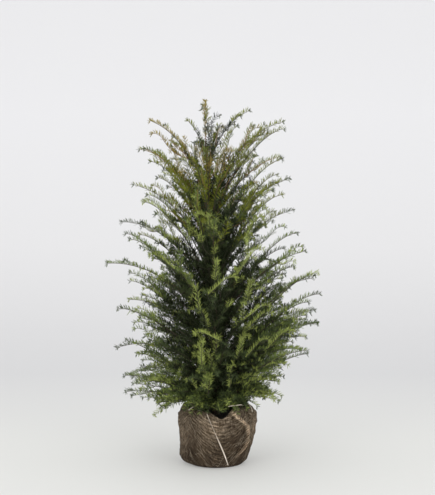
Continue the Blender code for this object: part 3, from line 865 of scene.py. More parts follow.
def grow_plumes(shoots, rng):
    """Single bright shoots that spring from the boughs' outer parts and stand out in front."""
    points = np.vstack([shoot.path[2:] for shoot in shoots if shoot.rank in (STEM, SIDE)])
    far, up = np.hypot(points[:, 0], points[:, 1]), points[:, 2]
    out = far / eased(up, CROWN)
    fit = (out > PLUMES_START[0]) & (out < PLUMES_START[1])
    fit &= (up > PLUMES_HEIGHTS[0]) & (up < PLUMES_HEIGHTS[1])
    fit &= (np.abs(points[:, 1]) > PLUMES_DEPTH * far) & (hollow_share(points) < PLUMES_HOLLOW)
    some = points[fit]
    for _ in range(PLUMES):
        start = some[rng.randrange(len(some))]
        lift = rng.uniform(*PLUME_LIFT)
        turn = jittered(rng, math.atan2(start[1], start[0]), PLUME_TURN)
        heading = around(turn, math.cos(lift), math.sin(lift))
        yield plume_shoot(start, heading, rng.uniform(*PLUME_LENGTH), rng)
    for sideways, height, length, lean in FRONT_PLUMES:
        place = np.array([sideways, -FRONT_DEPTH * eased(height, CROWN), height])
        away = (points - place) * (1.0, DEPTH_WEIGHT, 1.0)
        start = points[np.argmin(np.linalg.norm(away, axis=1))]
        heading = Vector((math.sin(lean), -FRONT_TILT, math.cos(lean))).normalized()
        yield plume_shoot(start, heading, length, rng)


@lru_cache(maxsize=None)
def all_shoots():
    boughs = [*all_boughs(), *between_boughs(), *edge_boughs(), *skirt_boughs()]
    shoots = [shoot for bough in boughs for shoot in grow_mass(bough)]
    shoots += grow_plumes(shoots, random.Random(77))
    return shoots + grow_inner(random.Random(41))


# Keeping twigs and needles to the plant's box and off the wrapped ball

BALL_MARGIN = 0.003
BOX_MARGIN = 0.014
DIP_CLEAR = math.radians(15)
DIP_CLEAR_FROM = 0.075
DIP_CLEAR_TO = 0.219
# Openings where light shows between the boughs, as seen from in front: sideways place, height
# and radius. Only the boughs' own stems cross them.
SIGHT_DISTANCE = 4.0
SIGHT_HEIGHT = 1.0
OPENINGS = (
    (-0.292, 0.443, 0.034), (-0.345, 0.443, 0.024), (-0.236, 0.724, 0.034), (-0.286, 0.722, 0.022),
    (0.154, 1.061, 0.024), (0.154, 1.173, 0.024), (0.212, 0.785, 0.029), (0.262, 0.610, 0.020),
    (-0.069, 1.229, 0.031), (-0.180, 1.229, 0.022), (0.270, 0.335, 0.024), (0.275, 0.385, 0.020),
    (-0.292, 0.612, 0.022), (0.325, 0.672, 0.014), (-0.120, 1.229, 0.014), (0.100, 1.240, 0.016),
    (-0.236, 0.612, 0.020), (-0.236, 1.005, 0.027), (-0.250, 0.218, 0.026), (-0.220, 0.275, 0.018),
    (0.212, 0.275, 0.016), (0.266, 0.670, 0.024), (-0.149, 0.950, 0.010), (-0.122, 0.922, 0.010),
    (-0.056, 0.879, 0.014), (-0.180, 0.800, 0.010), (-0.070, 0.800, 0.015), (-0.062, 0.768, 0.014),
    (-0.188, 0.284, 0.018), (0.075, 0.742, 0.010), (0.175, 0.730, 0.010), (0.108, 0.764, 0.010),
    (-0.238, 0.893, 0.018), (0.276, 0.442, 0.016), (-0.300, 0.225, 0.020),
)


def kept(points):
    """Which things, each a row of points, stay in the plant's box and clear of ball and dip."""
    low, high = (np.array(corner) for corner in CAD_BOX)
    inside = ((points > low - BOX_MARGIN) & (points < high + BOX_MARGIN)).all(axis=(1, 2))
    x, y, z = np.moveaxis(points, -1, 0)
    azimuth, far = np.arctan2(y, x), np.hypot(x, y)
    near = far < ball_radius(azimuth, z) + BALL_MARGIN
    low_down = z < rim_height(azimuth) + BALL_MARGIN
    in_dip = (np.abs(signed(azimuth - DIP_AZIMUTH)) < DIP_CLEAR) & (z < DIP_CLEAR_TO)
    return inside & ~((near & low_down) | (in_dip & (far > DIP_CLEAR_FROM))).any(axis=1)


def in_openings(points):
    nearer = SIGHT_DISTANCE / (SIGHT_DISTANCE + points[:, 1])
    sideways = points[:, 0] * nearer
    height = SIGHT_HEIGHT + (points[:, 2] - SIGHT_HEIGHT) * nearer
    away = [np.hypot(sideways - x, height - z) < radius for x, z, radius in OPENINGS]
    return np.any(away, axis=0)


def clear_part(path, stem=False):
    """The path as far as it stays in the plant's box, clear of the ball and of the openings."""
    clear = kept(path[:, None])
    if not stem:
        clear &= ~in_openings(path)
    clear[:2] = True
    return path if clear.all() else path[:int(np.argmin(clear))]


# Needles

ANGLE = math.radians(62)
TIP_ANGLE = math.radians(38)
ANGLE_JITTER = math.radians(11)
RANK_ROLL = math.radians(42)
RANK_JITTER = math.radians(28)
SHOOT_TILT = 0.8
TWIST_JITTER = math.radians(28)
UPRIGHT_ANGLE = math.radians(42)
TIP_REACH = 0.014
# Needles stand in loose bunches along a shoot: how far apart, and how far they are drawn in
BUNCH_PITCH = 0.0085
BUNCH_DRAW = 0.0010
FIRST_NEEDLE = 0.002
PITCH_JITTER = 0.3
TIP_LENGTH_SHARE = 0.55
LENGTH_VARIETY = (0.75, 1.12)
WIDTH_VARIETY = (0.85, 1.15)
# The needles round a shoot's bud: how many more there are, over what stretch, and their angle
ROSETTE = 7
ROSETTE_REACH = 0.006
ROSETTE_ANGLE = math.radians(62)
FOOT_REACH = 0.020
FOOT_LENGTH_SHARE = 0.6
# A needle's outline, as shares of its length and its width, and its faces
NEEDLE_SHAPE = ((0.0, 0.0), (0.22, 0.5), (0.22, -0.5), (0.72, 0.42), (0.72, -0.42), (1.0, 0.0))
NEEDLE_FACES = ((0, 2, 1), (1, 2, 4), (1, 4, 3), (3, 4, 5))
SICKLE = 0.14
SAG = 0.05
MOST_NEEDLES = 49000
TONES = ("shade", "mature", "green", "fresh", "olive", "bronze")
SHADE, MATURE, GREEN, FRESH, OLIVE, BRONZE = range(6)
# How far out a needle counts as standing, from which share each tone starts. Needles that stand
# farther out get lighter tones as painted light, those deep inside darker ones as painted shade
SHADE_UNDER = 0.34
OLIVE_OVER = 0.30
BRIGHT_OVER = 0.45
GREEN_OVER = 0.62
LUCK_SHARE = 0.35
CLUMP_SHARE = 0.5
FRESH_REACH = 0.030
# Painted shade on twigs and inner shoots deep in the plant, and painted light, below 0, on the
# bright plumes
RANK_SHADE = (0.0, 0.0, 0.16, 0.40, -0.30)
# Bright new shoots stand in clumps about this many to a metre
CLUMPS = 15.0
BRIGHT_FROM = 0.78
# Beyond this share of the crown's radius most shoots are painted dark, as painted shade where they
# stand against the light
DARK_FROM = 0.92
DARK_SHARE = 0.85
DARK_TOPS = 0.35
DARK_BUD = 0.011
# How much brighter shoots are painted at each height, as painted light
HEIGHT_LIGHT = ((0.25, 0.33), (0.40, 0.13), (0.55, 0.05), (0.80, 0.06), (0.95, 0.14),
                (1.10, 0.05))
# Painted shade between the boughs in front: sideways place, height and radius, and how deep it is
HOLLOWS = ((-0.013, 0.600, 0.060), (-0.140, 0.480, 0.065), (0.043, 0.470, 0.050),
           (-0.075, 0.350, 0.045), (0.043, 0.345, 0.045), (-0.060, 0.780, 0.050))
HOLLOW_SHADE = 0.60
BRONZE_FROM = 0.76
FRESH_PLUMES = 0.80
OLIVE_FROM = 0.78
OLIVE_FULL = 1.10

Feet = namedtuple("Feet", "point ahead along left order shoot")


def needle_feet(shoots, pitch, rng):
    """For every needle: its foot, the way ahead there, its distance from each end of its shoot,
    its number on it and the shoot's own number."""
    rows = []
    for number, shoot in enumerate(shoots):
        steps, sizes, reach = measured(shoot.path)
        total = reach[-1]
        along = np.arange(shoot.bare + FIRST_NEEDLE, total, pitch)
        along += BUNCH_DRAW * np.sin(FULL_TURN * along / BUNCH_PITCH)
        bud = rng.uniform(total - ROSETTE_REACH, total, ROSETTE)
        jitter = rng.uniform(-PITCH_JITTER, PITCH_JITTER, len(along)) * pitch
        along = np.clip(np.concatenate([along + jitter, bud]), 0, total)
        index = np.clip(np.searchsorted(reach, along) - 1, 0, len(steps) - 1)
        part = ((along - reach[index]) / sizes[index])[:, None]
        rows.append((shoot.path[index] + steps[index] * part, steps[index] / sizes[index, None],
                     along, total - along, np.arange(len(along)), np.full(len(along), number)))
    return Feet(*(np.concatenate(column) for column in zip(*rows)))


def needle_points(feet, shoots, settings, rng):
    """The six points of every needle."""
    ahead, count = feet.ahead, len(feet.order)
    upright = np.array([shoot.upright for shoot in shoots])[feet.shoot]
    budding = feet.left < ROSETTE_REACH
    side, over = crossways(ahead)
    tilt = rng.normal(0, 1, len(shoots))[feet.shoot] * RANK_JITTER * SHOOT_TILT
    ranks = np.where(feet.order % 2 == 0, 1.0, -1.0)
    roll = ranks * RANK_ROLL + tilt + rng.normal(0, 1, count) * RANK_JITTER
    roll = np.where(upright | budding, feet.order * SPIRAL_STEP, roll)
    tip = np.clip(1 - feet.left / TIP_REACH, 0, 1)
    angle = np.where(upright, UPRIGHT_ANGLE, ANGLE)
    angle = angle + (TIP_ANGLE - angle) * tip**1.5
    angle = np.where(budding, ROSETTE_ANGLE, angle) + rng.normal(0, 1, count) * ANGLE_JITTER
    direction = unit(swung(ahead, swung(over, side, roll), angle))
    near_foot = np.clip(feet.along / FOOT_REACH, 0, 1)
    length = settings.length * (FOOT_LENGTH_SHARE + (1 - FOOT_LENGTH_SHARE) * near_foot)
    length *= 1 - (1 - TIP_LENGTH_SHARE) * tip
    length *= rng.uniform(*LENGTH_VARIETY, count)
    width = unit(ahead - direction * (ahead * direction).sum(1, keepdims=True))
    width = swung(width, np.cross(direction, width), rng.normal(0, 1, count) * TWIST_JITTER)
    width *= settings.width * rng.uniform(*WIDTH_VARIETY, count)[:, None]
    bend = ahead * SICKLE - np.array([0.0, 0.0, SAG])
    points = np.empty((count, len(NEEDLE_SHAPE), 3))
    for i, (far, across) in enumerate(NEEDLE_SHAPE):
        reach = (length * far)[:, None]
        points[:, i] = feet.point + direction * reach + bend * reach * far + width * across
    return points


def hollow_share(points):
    """How deep each point lies in the painted shade between the boughs in front, from 0 to 1."""
    total = np.zeros(len(points))
    for x, z, radius in HOLLOWS:
        away = np.hypot(points[:, 0] - x, points[:, 2] - z) / radius
        total = np.maximum(total, np.exp(-away**4))
    return np.where(points[:, 1] < 0, total, 0)


def needle_tones(feet, shoots, rng):
    """Which colour each needle has: by how far out it stands, its height and its clump. Needles far
    out, high up or on the bright plumes get painted light; those deep inside, on twigs, in the
    hollows in front and at the edge against the light get painted shade.
    """
    luck, second = (rng.uniform(0, 1, len(shoots))[feet.shoot] for _ in range(2))
    starts = [Vector(shoot.path[0]) * CLUMPS for shoot in shoots]
    clump = np.clip([0.5 + 0.9 * noise.noise(start) for start in starts], 0, 1)[feet.shoot]
    rank = np.array([shoot.rank for shoot in shoots])[feet.shoot]
    height = feet.point[:, 2]
    exposure = np.hypot(feet.point[:, 0], feet.point[:, 1]) / eased(height, CROWN)
    hollow = hollow_share(feet.point)
    out = exposure + LUCK_SHARE * (luck - 0.5) + CLUMP_SHARE * (clump - 0.5)
    # Painted shade by rank, painted light by height, and painted shade in the hollows in front
    out -= np.array(RANK_SHADE)[rank]
    out += eased(height, HEIGHT_LIGHT)
    out -= HOLLOW_SHADE * hollow
    # Shoots at the outer edge painted dark, as painted shade against the light
    dark = (exposure > DARK_FROM) & (clump < BRIGHT_FROM) & (luck < DARK_SHARE)
    tones = np.full(len(height), MATURE)
    tones[(out > GREEN_OVER) & ~dark] = GREEN
    tones[out < SHADE_UNDER] = SHADE
    bright = (out > BRIGHT_OVER) & (clump + 0.3 * (luck - 0.5) > BRIGHT_FROM) & (hollow < 0.5)
    bright |= (rank == BRIGHT) & (luck < FRESH_PLUMES)
    fresh_tip = (out > GREEN_OVER) & (feet.left < FRESH_REACH * second) & (exposure < DARK_FROM)
    tones[bright | fresh_tip] = FRESH
    topness = np.clip((height - OLIVE_FROM) / (OLIVE_FULL - OLIVE_FROM), 0, 1)
    lit = (out > OLIVE_OVER) & (second < topness) & (rank != BRIGHT)
    lit &= ~dark | (luck > DARK_TOPS)
    tones[lit] = OLIVE
    tones[lit & (clump * topness > BRONZE_FROM)] = BRONZE
    tones[(feet.left < DARK_BUD * luck) & ~bright] = MATURE
    return tones


def needle_material(tone, colour):
    nodes = Nodes(f"needles_{tone}", roughness=0.55, Specular_IOR_Level=0.10)
    nodes.colour(nodes.patches(colour, nodes.noise(26.0, 2.0), (0.30, 0.72), (0.70, 1.3)))
    return nodes.material


# Twigs

TWIG_SIDES = 3
STEM_SIDES = 5
STEM_FROM = 0.0021
BROWN_SHARE = 0.3
ORANGE_SHARE = 0.30
ORANGE_FROM = 0.93


def twig_kind(shoot, luck):
    """Orange shoots near the top, green ones for the new shoots and brown ones for the rest."""
    if shoot.path[-1][2] > ORANGE_FROM and luck < ORANGE_SHARE:
        return "orange"
    return "brown" if shoot.rank in (STEM, INNER) or luck < BROWN_SHARE else "green"


def twig_material(kind, colour):
    nodes = Nodes(f"twigs_{kind}", roughness=0.62)
    nodes.colour(nodes.patches(colour, nodes.noise(60.0), (0.32, 0.6), (0.68, 1.35)))
    return nodes.material


# Bark

TRUNK_RINGS = 170
TRUNK_SIDES = 28
BOUGH_SIDES = 12
BOUGH_RINGS = 26
BOUGH_REACH = 0.52
BOUGH_TAPER = 0.42
TRUNK_SUNK = 0.002
PLATE_WIDTH = 0.0045
PLATE_LENGTH = 0.016
FULL_RELIEF_RADIUS = 0.008
FLAKE_EDGE = (0.21, 0.12, 0.075)


def bark_relief(point, angle, radius):
    """How far the bark stands out here: long plates with furrows between them."""
    place = Vector((angle * radius / PLATE_WIDTH, point.z / PLATE_LENGTH, point.x * 40))
    plates = noise.noise(place) + 0.5 * noise.noise(place * 2.3)
    return plates + 0.6 * math.cos(3 * angle + point.z * 30)


def bark_limb(bm, path, radii, sides, relief):
    """Extrudes a ring of the limb along its path, with relief that fades as the limb thins."""
    aheads = [(b - a).normalized() for a, b in zip(path, path[1:])]
    ring = bmesh.ops.create_circle(bm, segments=sides, radius=1.0, cap_ends=True)["verts"]
    edges = list({edge for vert in ring for edge in vert.link_edges if len(edge.link_faces) == 1})
    for point, ahead, radius in zip(path, aheads + aheads[-1:], radii):
        if point is not path[0]:
            grown = bmesh.ops.extrude_edge_only(bm, edges=edges)["geom"]
            ring = [item for item in grown if isinstance(item, bmesh.types.BMVert)]
            edges = [item for item in grown if isinstance(item, bmesh.types.BMEdge)
                     and len(item.link_faces) == 1]
            ring.sort(key=lambda vert: math.atan2(vert.co.y, vert.co.x))
        side = ahead.cross(Vector((0, 1, 0))).normalized()
        ring.sort(key=lambda vert: vert.index)
        place_ring(ring, edges, point, side, side.cross(ahead), radius, relief)
    bmesh.ops.holes_fill(bm, edges=edges)


def place_ring(ring, edges, point, side, over, radius, relief):
    """Puts a ring's vertices, in their order round its edges, on a circle with bark relief."""
    ordered, edge = [ring[0]], None
    while len(ordered) < len(ring):
        here = ordered[-1]
        edge = next(e for e in here.link_edges if e in edges and e is not edge)
        ordered.append(edge.other_vert(here))
    for i, vert in enumerate(ordered):
        angle = FULL_TURN * i / len(ordered)
        depth = relief * min(1.0, radius / FULL_RELIEF_RADIUS) * bark_relief(point, angle, radius)
        vert.co = point + (side * math.cos(angle) + over * math.sin(angle)) * (radius + depth)


def trunk_mesh(relief):
    bm = bmesh.new()
    heights = [float(h) for h in np.linspace(SOIL_TOP - TRUNK_SUNK, TRUNK_TOP, TRUNK_RINGS)]
    radii = [trunk_radius(max(h, SOIL_TOP)) for h in heights]
    bark_limb(bm, [trunk_centre(h) for h in heights], radii, TRUNK_SIDES, relief)
    return mesh_from_bmesh("trunk_bark", bm)


def limbs_mesh(limbs, relief):
    bm = bmesh.new()
    for bough in limbs:
        path = [bough.foot - bough.outward * SQUARE_FOOT, *bough.line(0, BOUGH_REACH, BOUGH_RINGS)]
        radii = [bough.radius() * float(t) for t in np.linspace(1.0, BOUGH_TAPER, len(path))]
        bark_limb(bm, path, radii, BOUGH_SIDES, relief)
    return mesh_from_bmesh("bough_bark", bm)


def bark_material(colour):
    nodes = Nodes("bark", roughness=0.82)
    place = nodes.stretched(nodes.object_place(), 1.0, 1.0, 0.3)
    plates = nodes.noise(190.0, 5.0, 0.65, place)
    patch = nodes.noise(30.0, 2.0)
    flakes = nodes.ramp(plates, (0.30, scaled(colour, 0.35)), (0.52, colour), (0.72, FLAKE_EDGE))
    nodes.colour(nodes.mix(nodes.math("MULTIPLY", patch, 0.5), flakes, scaled(colour, 0.6)))
    nodes.bump(plates, 0.0012)
    return nodes.material


# Hessian

WRAP_STEPS = 340
WRAP_RINGS = 110
WALL = 0.003
SWAG_TOP = 0.034
SWAG_SLOPE = 0.38
SWAG_FOLD = 0.0014
SWAG_FOLD_PITCH = 0.0125
SWAG_WOBBLE = 3.5
SWAG_FADE = 0.07
GATHER_REACH = 0.055
GATHERS_PER_RADIAN = 5.5
BACK_GATHERS = 0.6
RIDGE_HEIGHT = 0.0085
RIDGE_WIDTH = 0.010
# The thick fold's way down from the right knot: height and azimuth in degrees
RIDGE_LINE = in_radians((0.045, -52), (0.080, -40), (0.120, -37), (0.155, -40), (0.185, -55),
                        (0.205, -62))
BULGE = 0.0038
CRUMPLE = 0.0026
STREAK = 0.0011
UPRIGHT_FOLD = 0.0016
SCALE_RADIUS = 0.14
# Places where the cloth is paler, above 0, or darker, below 0: how much, height, radius, azimuth
PATCHES = in_radians(
    (-1.0, 0.088, 0.036, -62), (-0.5, 0.055, 0.040, -96), (-0.6, 0.040, 0.040, -128),
    (0.25, 0.110, 0.050, -150), (0.28, 0.165, 0.035, -92), (0.40, 0.130, 0.050, -12),
    (-0.6, 0.060, 0.050, 20), (0.4, 0.120, 0.050, 70), (-0.7, 0.060, 0.050, 110),
    (0.4, 0.150, 0.050, 170),
)
# A painted highlight along the thick fold, where it would catch the light
RIDGE_HIGHLIGHT = 1.5
RIDGE_SPREAD = 0.55
# Painted shade in the creases beside the fold: how far to its side, in widths of the fold, and how
# dark
RIDGE_CREASES = ((-1.7, 1.1), (1.8, 0.5))
# The cloth's tones over its wear with its painted highlight and shade, how stained it is, its ribs
# and its height, darker towards the floor
WEAR_AND_PAINTED_LIGHT_TONES = ((0.0, (0.22, 0.20, 0.18)), (0.5, (0.5, 0.5, 0.5)), (1.0, (1.64, 1.62, 1.62)))
STAINS = ((0.34, (1.30, 1.28, 1.24)), (0.50, (0.95, 0.95, 0.95)), (0.66, (0.42, 0.38, 0.34)))
RUBBED = ((0.30, (0.50, 0.48, 0.46)), (0.80, (1.35, 1.32, 1.28)))
# Darker towards the floor
TOWARDS_FLOOR = ((0.02, (0.50, 0.47, 0.45)), (0.32, (0.86, 0.84, 0.82)), (0.70, (1.0, 1.0, 1.0)))
BRIGHTNESS = 2.2


def panel_share(azimuth):
    """How far the azimuth lies across its panel of cloth, from -1 at one knot to 1 at the next."""
    share = np.zeros_like(azimuth)
    for start, end in zip(KNOT_AZIMUTHS, KNOT_AZIMUTHS[1:] + KNOT_AZIMUTHS[:1]):
        width = (end - start) % FULL_TURN
        into = (azimuth - start) % FULL_TURN
        share = np.where(into < width, 2 * into / width - 1, share)
    return share


def swag_hang(azimuth):
    """How far threads hang here, from 0 at a knot to 1 midway between two knots."""
    return 1 - panel_share(azimuth) ** 2


def swag_level(azimuth, height):
    """The level of the thread that passes here: threads hang in swags between the knots."""
    return height + (SWAG_TOP + SWAG_SLOPE * (RIM_HEIGHT - height)) * swag_hang(azimuth)


def swag_height(azimuth, level):
    """The height at which the thread of this level passes the azimuth."""
    hang = swag_hang(azimuth)
    return (level - (SWAG_TOP + SWAG_SLOPE * RIM_HEIGHT) * hang) / (1 - SWAG_SLOPE * hang)


def gathers(azimuth, height, fold):
    """Pleats that fan out below each knot and die away."""
    total = np.zeros_like(azimuth)
    down = KNOT_HEIGHT - height
    for number, knot in enumerate(KNOT_AZIMUTHS):
        across = signed(azimuth - knot) * SCALE_RADIUS
        away = np.hypot(across, down)
        angle = np.arctan2(across, np.maximum(down, 0.002))
        strength = np.exp(-away / GATHER_REACH) * np.clip(away / 0.012, 0, 1)
        share = 1.0 if number < 2 else BACK_GATHERS
        total += share * strength * np.cos(angle * GATHERS_PER_RADIAN * 2 + number)
    return fold * total


def right_ridge(azimuth, height):
    """The thick fold that drops from the right knot and curves back towards the front."""
    across = signed(azimuth - eased(height, RIDGE_LINE)) * SCALE_RADIUS / RIDGE_WIDTH
    ends = np.clip((height - 0.035) / 0.03, 0, 1) * np.clip((0.212 - height) / 0.02, 0, 1)
    return np.exp(-across**2) * ends


def cloth_noise(u, v, seed):
    """Noise from -1 to 1 over two arrays of places, the same each run."""
    flat = zip(np.ravel(u), np.ravel(v))
    return np.reshape([noise.noise(Vector((a, b, seed * 7.3))) for a, b in flat], np.shape(u))


def cloth_lift(azimuth, height, fold):
    """How far the cloth stands out from the ball's outline: folds, streaks and crumples."""
    level = swag_level(azimuth, height)
    x, y = SCALE_RADIUS * np.cos(azimuth), SCALE_RADIUS * np.sin(azimuth)
    fade = np.exp(-np.clip(RIM_HEIGHT - height, 0, 1) / SWAG_FADE)
    lift = gathers(azimuth, height, fold) + RIDGE_HEIGHT * right_ridge(azimuth, height)
    wobble = SWAG_WOBBLE * cloth_noise(x / 0.05 + y / 0.07, level / 0.03, 1)
    lift += SWAG_FOLD * np.sin(FULL_TURN * level / SWAG_FOLD_PITCH + wobble) * fade
    lift += BULGE * cloth_noise(x / 0.045 + 9, height / 0.05 + y / 0.045, 2)
    lift += CRUMPLE * cloth_noise(x / 0.021, height / 0.017 + y / 0.023, 3)
    lift += STREAK * cloth_noise(azimuth * 4.5, level / 0.0036, 4)
    upright = np.clip(np.abs(panel_share(azimuth)) * 2 - 0.9, 0, 1)
    lift += UPRIGHT_FOLD * upright * cloth_noise(azimuth * 16, height / 0.07, 5)
    return lift * np.clip(height / 0.02, 0, 1)


def cloth_wear_and_painted_light(azimuth, height):
    """How pale the cloth is painted, above 0, or how dark, below 0: a painted highlight along the
    thick fold, painted shade in the creases beside it, and paler and darker patches.
    """
    wear = RIDGE_HIGHLIGHT * right_ridge(azimuth, height) ** RIDGE_SPREAD
    for side, depth in RIDGE_CREASES:
        wear -= depth * right_ridge(azimuth - side * RIDGE_WIDTH / SCALE_RADIUS, height)
    for amount, level, radius, middle in PATCHES:
        across = signed(azimuth - middle) * SCALE_RADIUS
        wear += amount * np.exp(-(across**2 + (height - level) ** 2) / radius**2)
    return np.clip(wear, -1, 1)


def on_cloth(azimuth, height, fold, out=0.0):
    """Points on the draped cloth, or out from it."""
    radius = ball_radius(azimuth, height) + cloth_lift(azimuth, height, fold) + out
    return np.column_stack([radius * np.cos(azimuth), radius * np.sin(azimuth), height])


def wrap_profile():
    """The shell's profile as (height share, out share): up the outside and down the inside."""
    outer = [(0.0, float(out)) for out in np.linspace(0.0, 0.95, 8)]
    outer += [(float(up), 1.0) for up in np.linspace(0.0, 1.0, WRAP_RINGS)]
    inner = [(float(up), -1.0) for up in np.linspace(1.0, 0.0, WRAP_RINGS // 3)]
    inner += [(0.0, -float(out)) for out in np.linspace(0.9, 0.0, 5)]
    return outer + inner


def spun_grid(profile, steps):
    """Spins a level line round the trunk's axis, with a point at 2, 3, 4 ... for each row."""
    bm = bmesh.new()
    verts = [bm.verts.new((row + 2.0, 0.0, 0.0)) for row in range(len(profile))]
    edges = [bm.edges.new(pair) for pair in zip(verts, verts[1:])]
    bmesh.ops.spin(bm, geom=verts + edges, cent=(0, 0, 0), axis=(0, 0, 1), dvec=(0, 0, 0),
                   angle=FULL_TURN, steps=steps, use_merge=True)
    return bm


def merged_mesh(name, bm):
    bmesh.ops.remove_doubles(bm, verts=bm.verts, dist=1e-5)
    return mesh_from_bmesh(name, bm)


def wrap_mesh(fold):
    """The draped shell of hessian with its UV map along the threads."""
    profile = wrap_profile()
    bm = spun_grid(profile, WRAP_STEPS)
    flat = np.array([vert.co for vert in bm.verts])
    azimuth = np.arctan2(flat[:, 1], flat[:, 0])
    row = np.rint(np.hypot(flat[:, 0], flat[:, 1]) - 2.0).astype(int)
    up, out = np.array(profile)[row].T
    inner = out < 0
    height = up * rim_height(azimuth) + np.where(inner, (1 - up) * WALL, 0.0)
    radius = ball_radius(azimuth, height) + cloth_lift(azimuth, height, fold)
    radius -= np.where(inner, WALL, 0.0)
    radius *= np.abs(out)
    for vert, a, r, h in zip(bm.verts, azimuth, radius, height):
        vert.co = (r * math.cos(a), r * math.sin(a), h)
    mesh = merged_mesh("hessian", bm)
    add_weave_uv(mesh)
    x, y, z = values_of(mesh.vertices, "co", 3, np.float32).reshape(-1, 3).T
    # The cloth's painted highlight and shade, with its paler and darker patches, kept on the mesh
    wear = mesh.attributes.new("wear", "FLOAT", "POINT")
    wear.data.foreach_set("value", cloth_wear_and_painted_light(np.arctan2(y, x), z).astype(np.float32))
    return mesh


def add_weave_uv(mesh):
    """u runs round the ball along a thread and v from thread to thread, both in metres."""
    corners = values_of(mesh.loops, "vertex_index")
    starts = values_of(mesh.polygons, "loop_start")
    sizes = np.diff(np.append(starts, len(corners)))
    x, y, z = values_of(mesh.vertices, "co", 3, np.float32).reshape(-1, 3)[corners].T
    azimuth = np.arctan2(y, x)
    home = np.repeat(azimuth[starts], sizes)
    azimuth = home + signed(azimuth - home)
    level = np.where(z > 0.002, swag_level(azimuth, z), np.hypot(x, y))
    layer = mesh.uv_layers.new(name="weave")
    layer.data.foreach_set("uv", np.column_stack([azimuth * SCALE_RADIUS, level]).ravel())


def hessian_material(settings):
    """Coarse open weave with stretched, stained and rubbed threads, a painted highlight on the
    thick fold with painted shade beside it, darker towards the floor.
    """
    nodes = Nodes("hessian", roughness=0.95, Specular_IOR_Level=0.12)
    fine = nodes.weave_place(1.0, 1.0, 1.0)
    per_metre = FULL_TURN / (20 * settings.thread)
    weft = nodes.wave(fine, per_metre, "Y", distortion=0.8)
    warp = nodes.wave(fine, per_metre, "X", distortion=0.8)
    ribs = nodes.wave(fine, 0.34 * per_metre, "Y", distortion=2.4)
    streaks = nodes.noise(1.0, 4.0, 0.7, nodes.weave_place(55.0, 340.0, 1.0))
    cross = nodes.noise(1.0, 4.0, 0.7, nodes.weave_place(300.0, 60.0, 1.0))
    stains = nodes.noise(17.0, 5.0, 0.62)
    light, dark = settings.cloth_light, settings.cloth_dark
    threads = nodes.ramp(streaks, (0.34, scaled(dark, 0.5)), (0.47, dark), (0.56, light),
                         (0.72, scaled(light, 2.1)))
    crossed = nodes.ramp(cross, (0.38, scaled(dark, 0.6)), (0.50, scaled(light, 0.6)),
                         (0.66, scaled(light, 1.7)))
    cloth = nodes.mix(0.42, threads, crossed)
    cloth = nodes.toned(0.62, cloth, ribs, *RUBBED)
    cloth = nodes.toned(0.75, cloth, stains, *STAINS)
    # The painted highlight and shade of the fold, with the paler and darker patches
    wear = nodes.add("ShaderNodeAttribute", attribute_name="wear")["Fac"]
    cloth = nodes.toned(1.0, cloth, nodes.math("MULTIPLY_ADD", wear, 0.5, 0.5), *WEAR_AND_PAINTED_LIGHT_TONES)
    cloth = nodes.toned(1.0, cloth, nodes.low_height(), *TOWARDS_FLOOR)
    nodes.colour(nodes.mix(1.0, cloth, (BRIGHTNESS,) * 3, blend="MULTIPLY"))
    relief = nodes.math("ADD", nodes.math("MULTIPLY", streaks, 2.0), nodes.math("ADD", weft, warp))
    nodes.bump(relief, 0.0012)
    return nodes.material


# Loose fibres on the cloth

FIBRE_POINTS = 14
FIBRE_REACH = (0.008, 0.034)
FIBRE_LEVELS = (0.02, 0.36)
FIBRE_THICKNESS = (0.00025, 0.00055)
FIBRE_STANDOFF = (0.0003, 0.0010)
FIBRE_SLACK = 0.0012
SLANT = 0.15
STEEP_SLANT = 1.8
ALONG_SHARE = 0.65
LEAST_POINTS = 5


def fibre_path(rng, fold):
    """A fibre that follows a thread for a while, with a little slack, or crosses the threads."""
    azimuth = rng.uniform(-math.pi, math.pi)
    reach = rng.uniform(*FIBRE_REACH) / SCALE_RADIUS
    azimuths = np.linspace(azimuth, azimuth + reach, FIBRE_POINTS)
    heights = swag_height(azimuths, rng.uniform(*FIBRE_LEVELS))
    follows = rng.random() < ALONG_SHARE
    slant = rng.gauss(0, SLANT) if follows else rng.uniform(-STEEP_SLANT, STEEP_SLANT)
    heights = heights + slant * (azimuths - azimuth) * SCALE_RADIUS
    phase = np.linspace(0, 9, FIBRE_POINTS) + rng.uniform(0, 6)
    heights = heights + FIBRE_SLACK * np.sin(phase)
    inside = (heights > 0.006) & (heights < rim_height(azimuths) - 0.002)
    if not inside.any():
        return None
    first = int(np.argmax(inside))
    stop = len(inside) if inside[first:].all() else first + int(np.argmin(inside[first:]))
    if stop - first < LEAST_POINTS:
        return None
    return on_cloth(azimuths[first:stop], heights[first:stop], fold, rng.uniform(*FIBRE_STANDOFF))


def fibre_tubes(count, fold, seed):
    rng = random.Random(seed)
    tubes = []
    while len(tubes) < count:
        path = fibre_path(rng, fold)
        if path is not None:
            thick = rng.uniform(*FIBRE_THICKNESS)
            radii = thick * (1 - 0.6 * np.abs(np.linspace(-1, 1, len(path))) ** 2)
            tubes.append(tube(path, radii, 4))
    return tubes


def fibre_material(name, colour):
    nodes = Nodes(name, roughness=0.85, Specular_IOR_Level=0.12)
    nodes.colour(nodes.patches(colour, nodes.noise(90.0), (0.30, 0.45), (0.66, 1.25)))
    nodes.bump(nodes.noise(900.0), 0.0004)
    return nodes.material


# Gathered corners

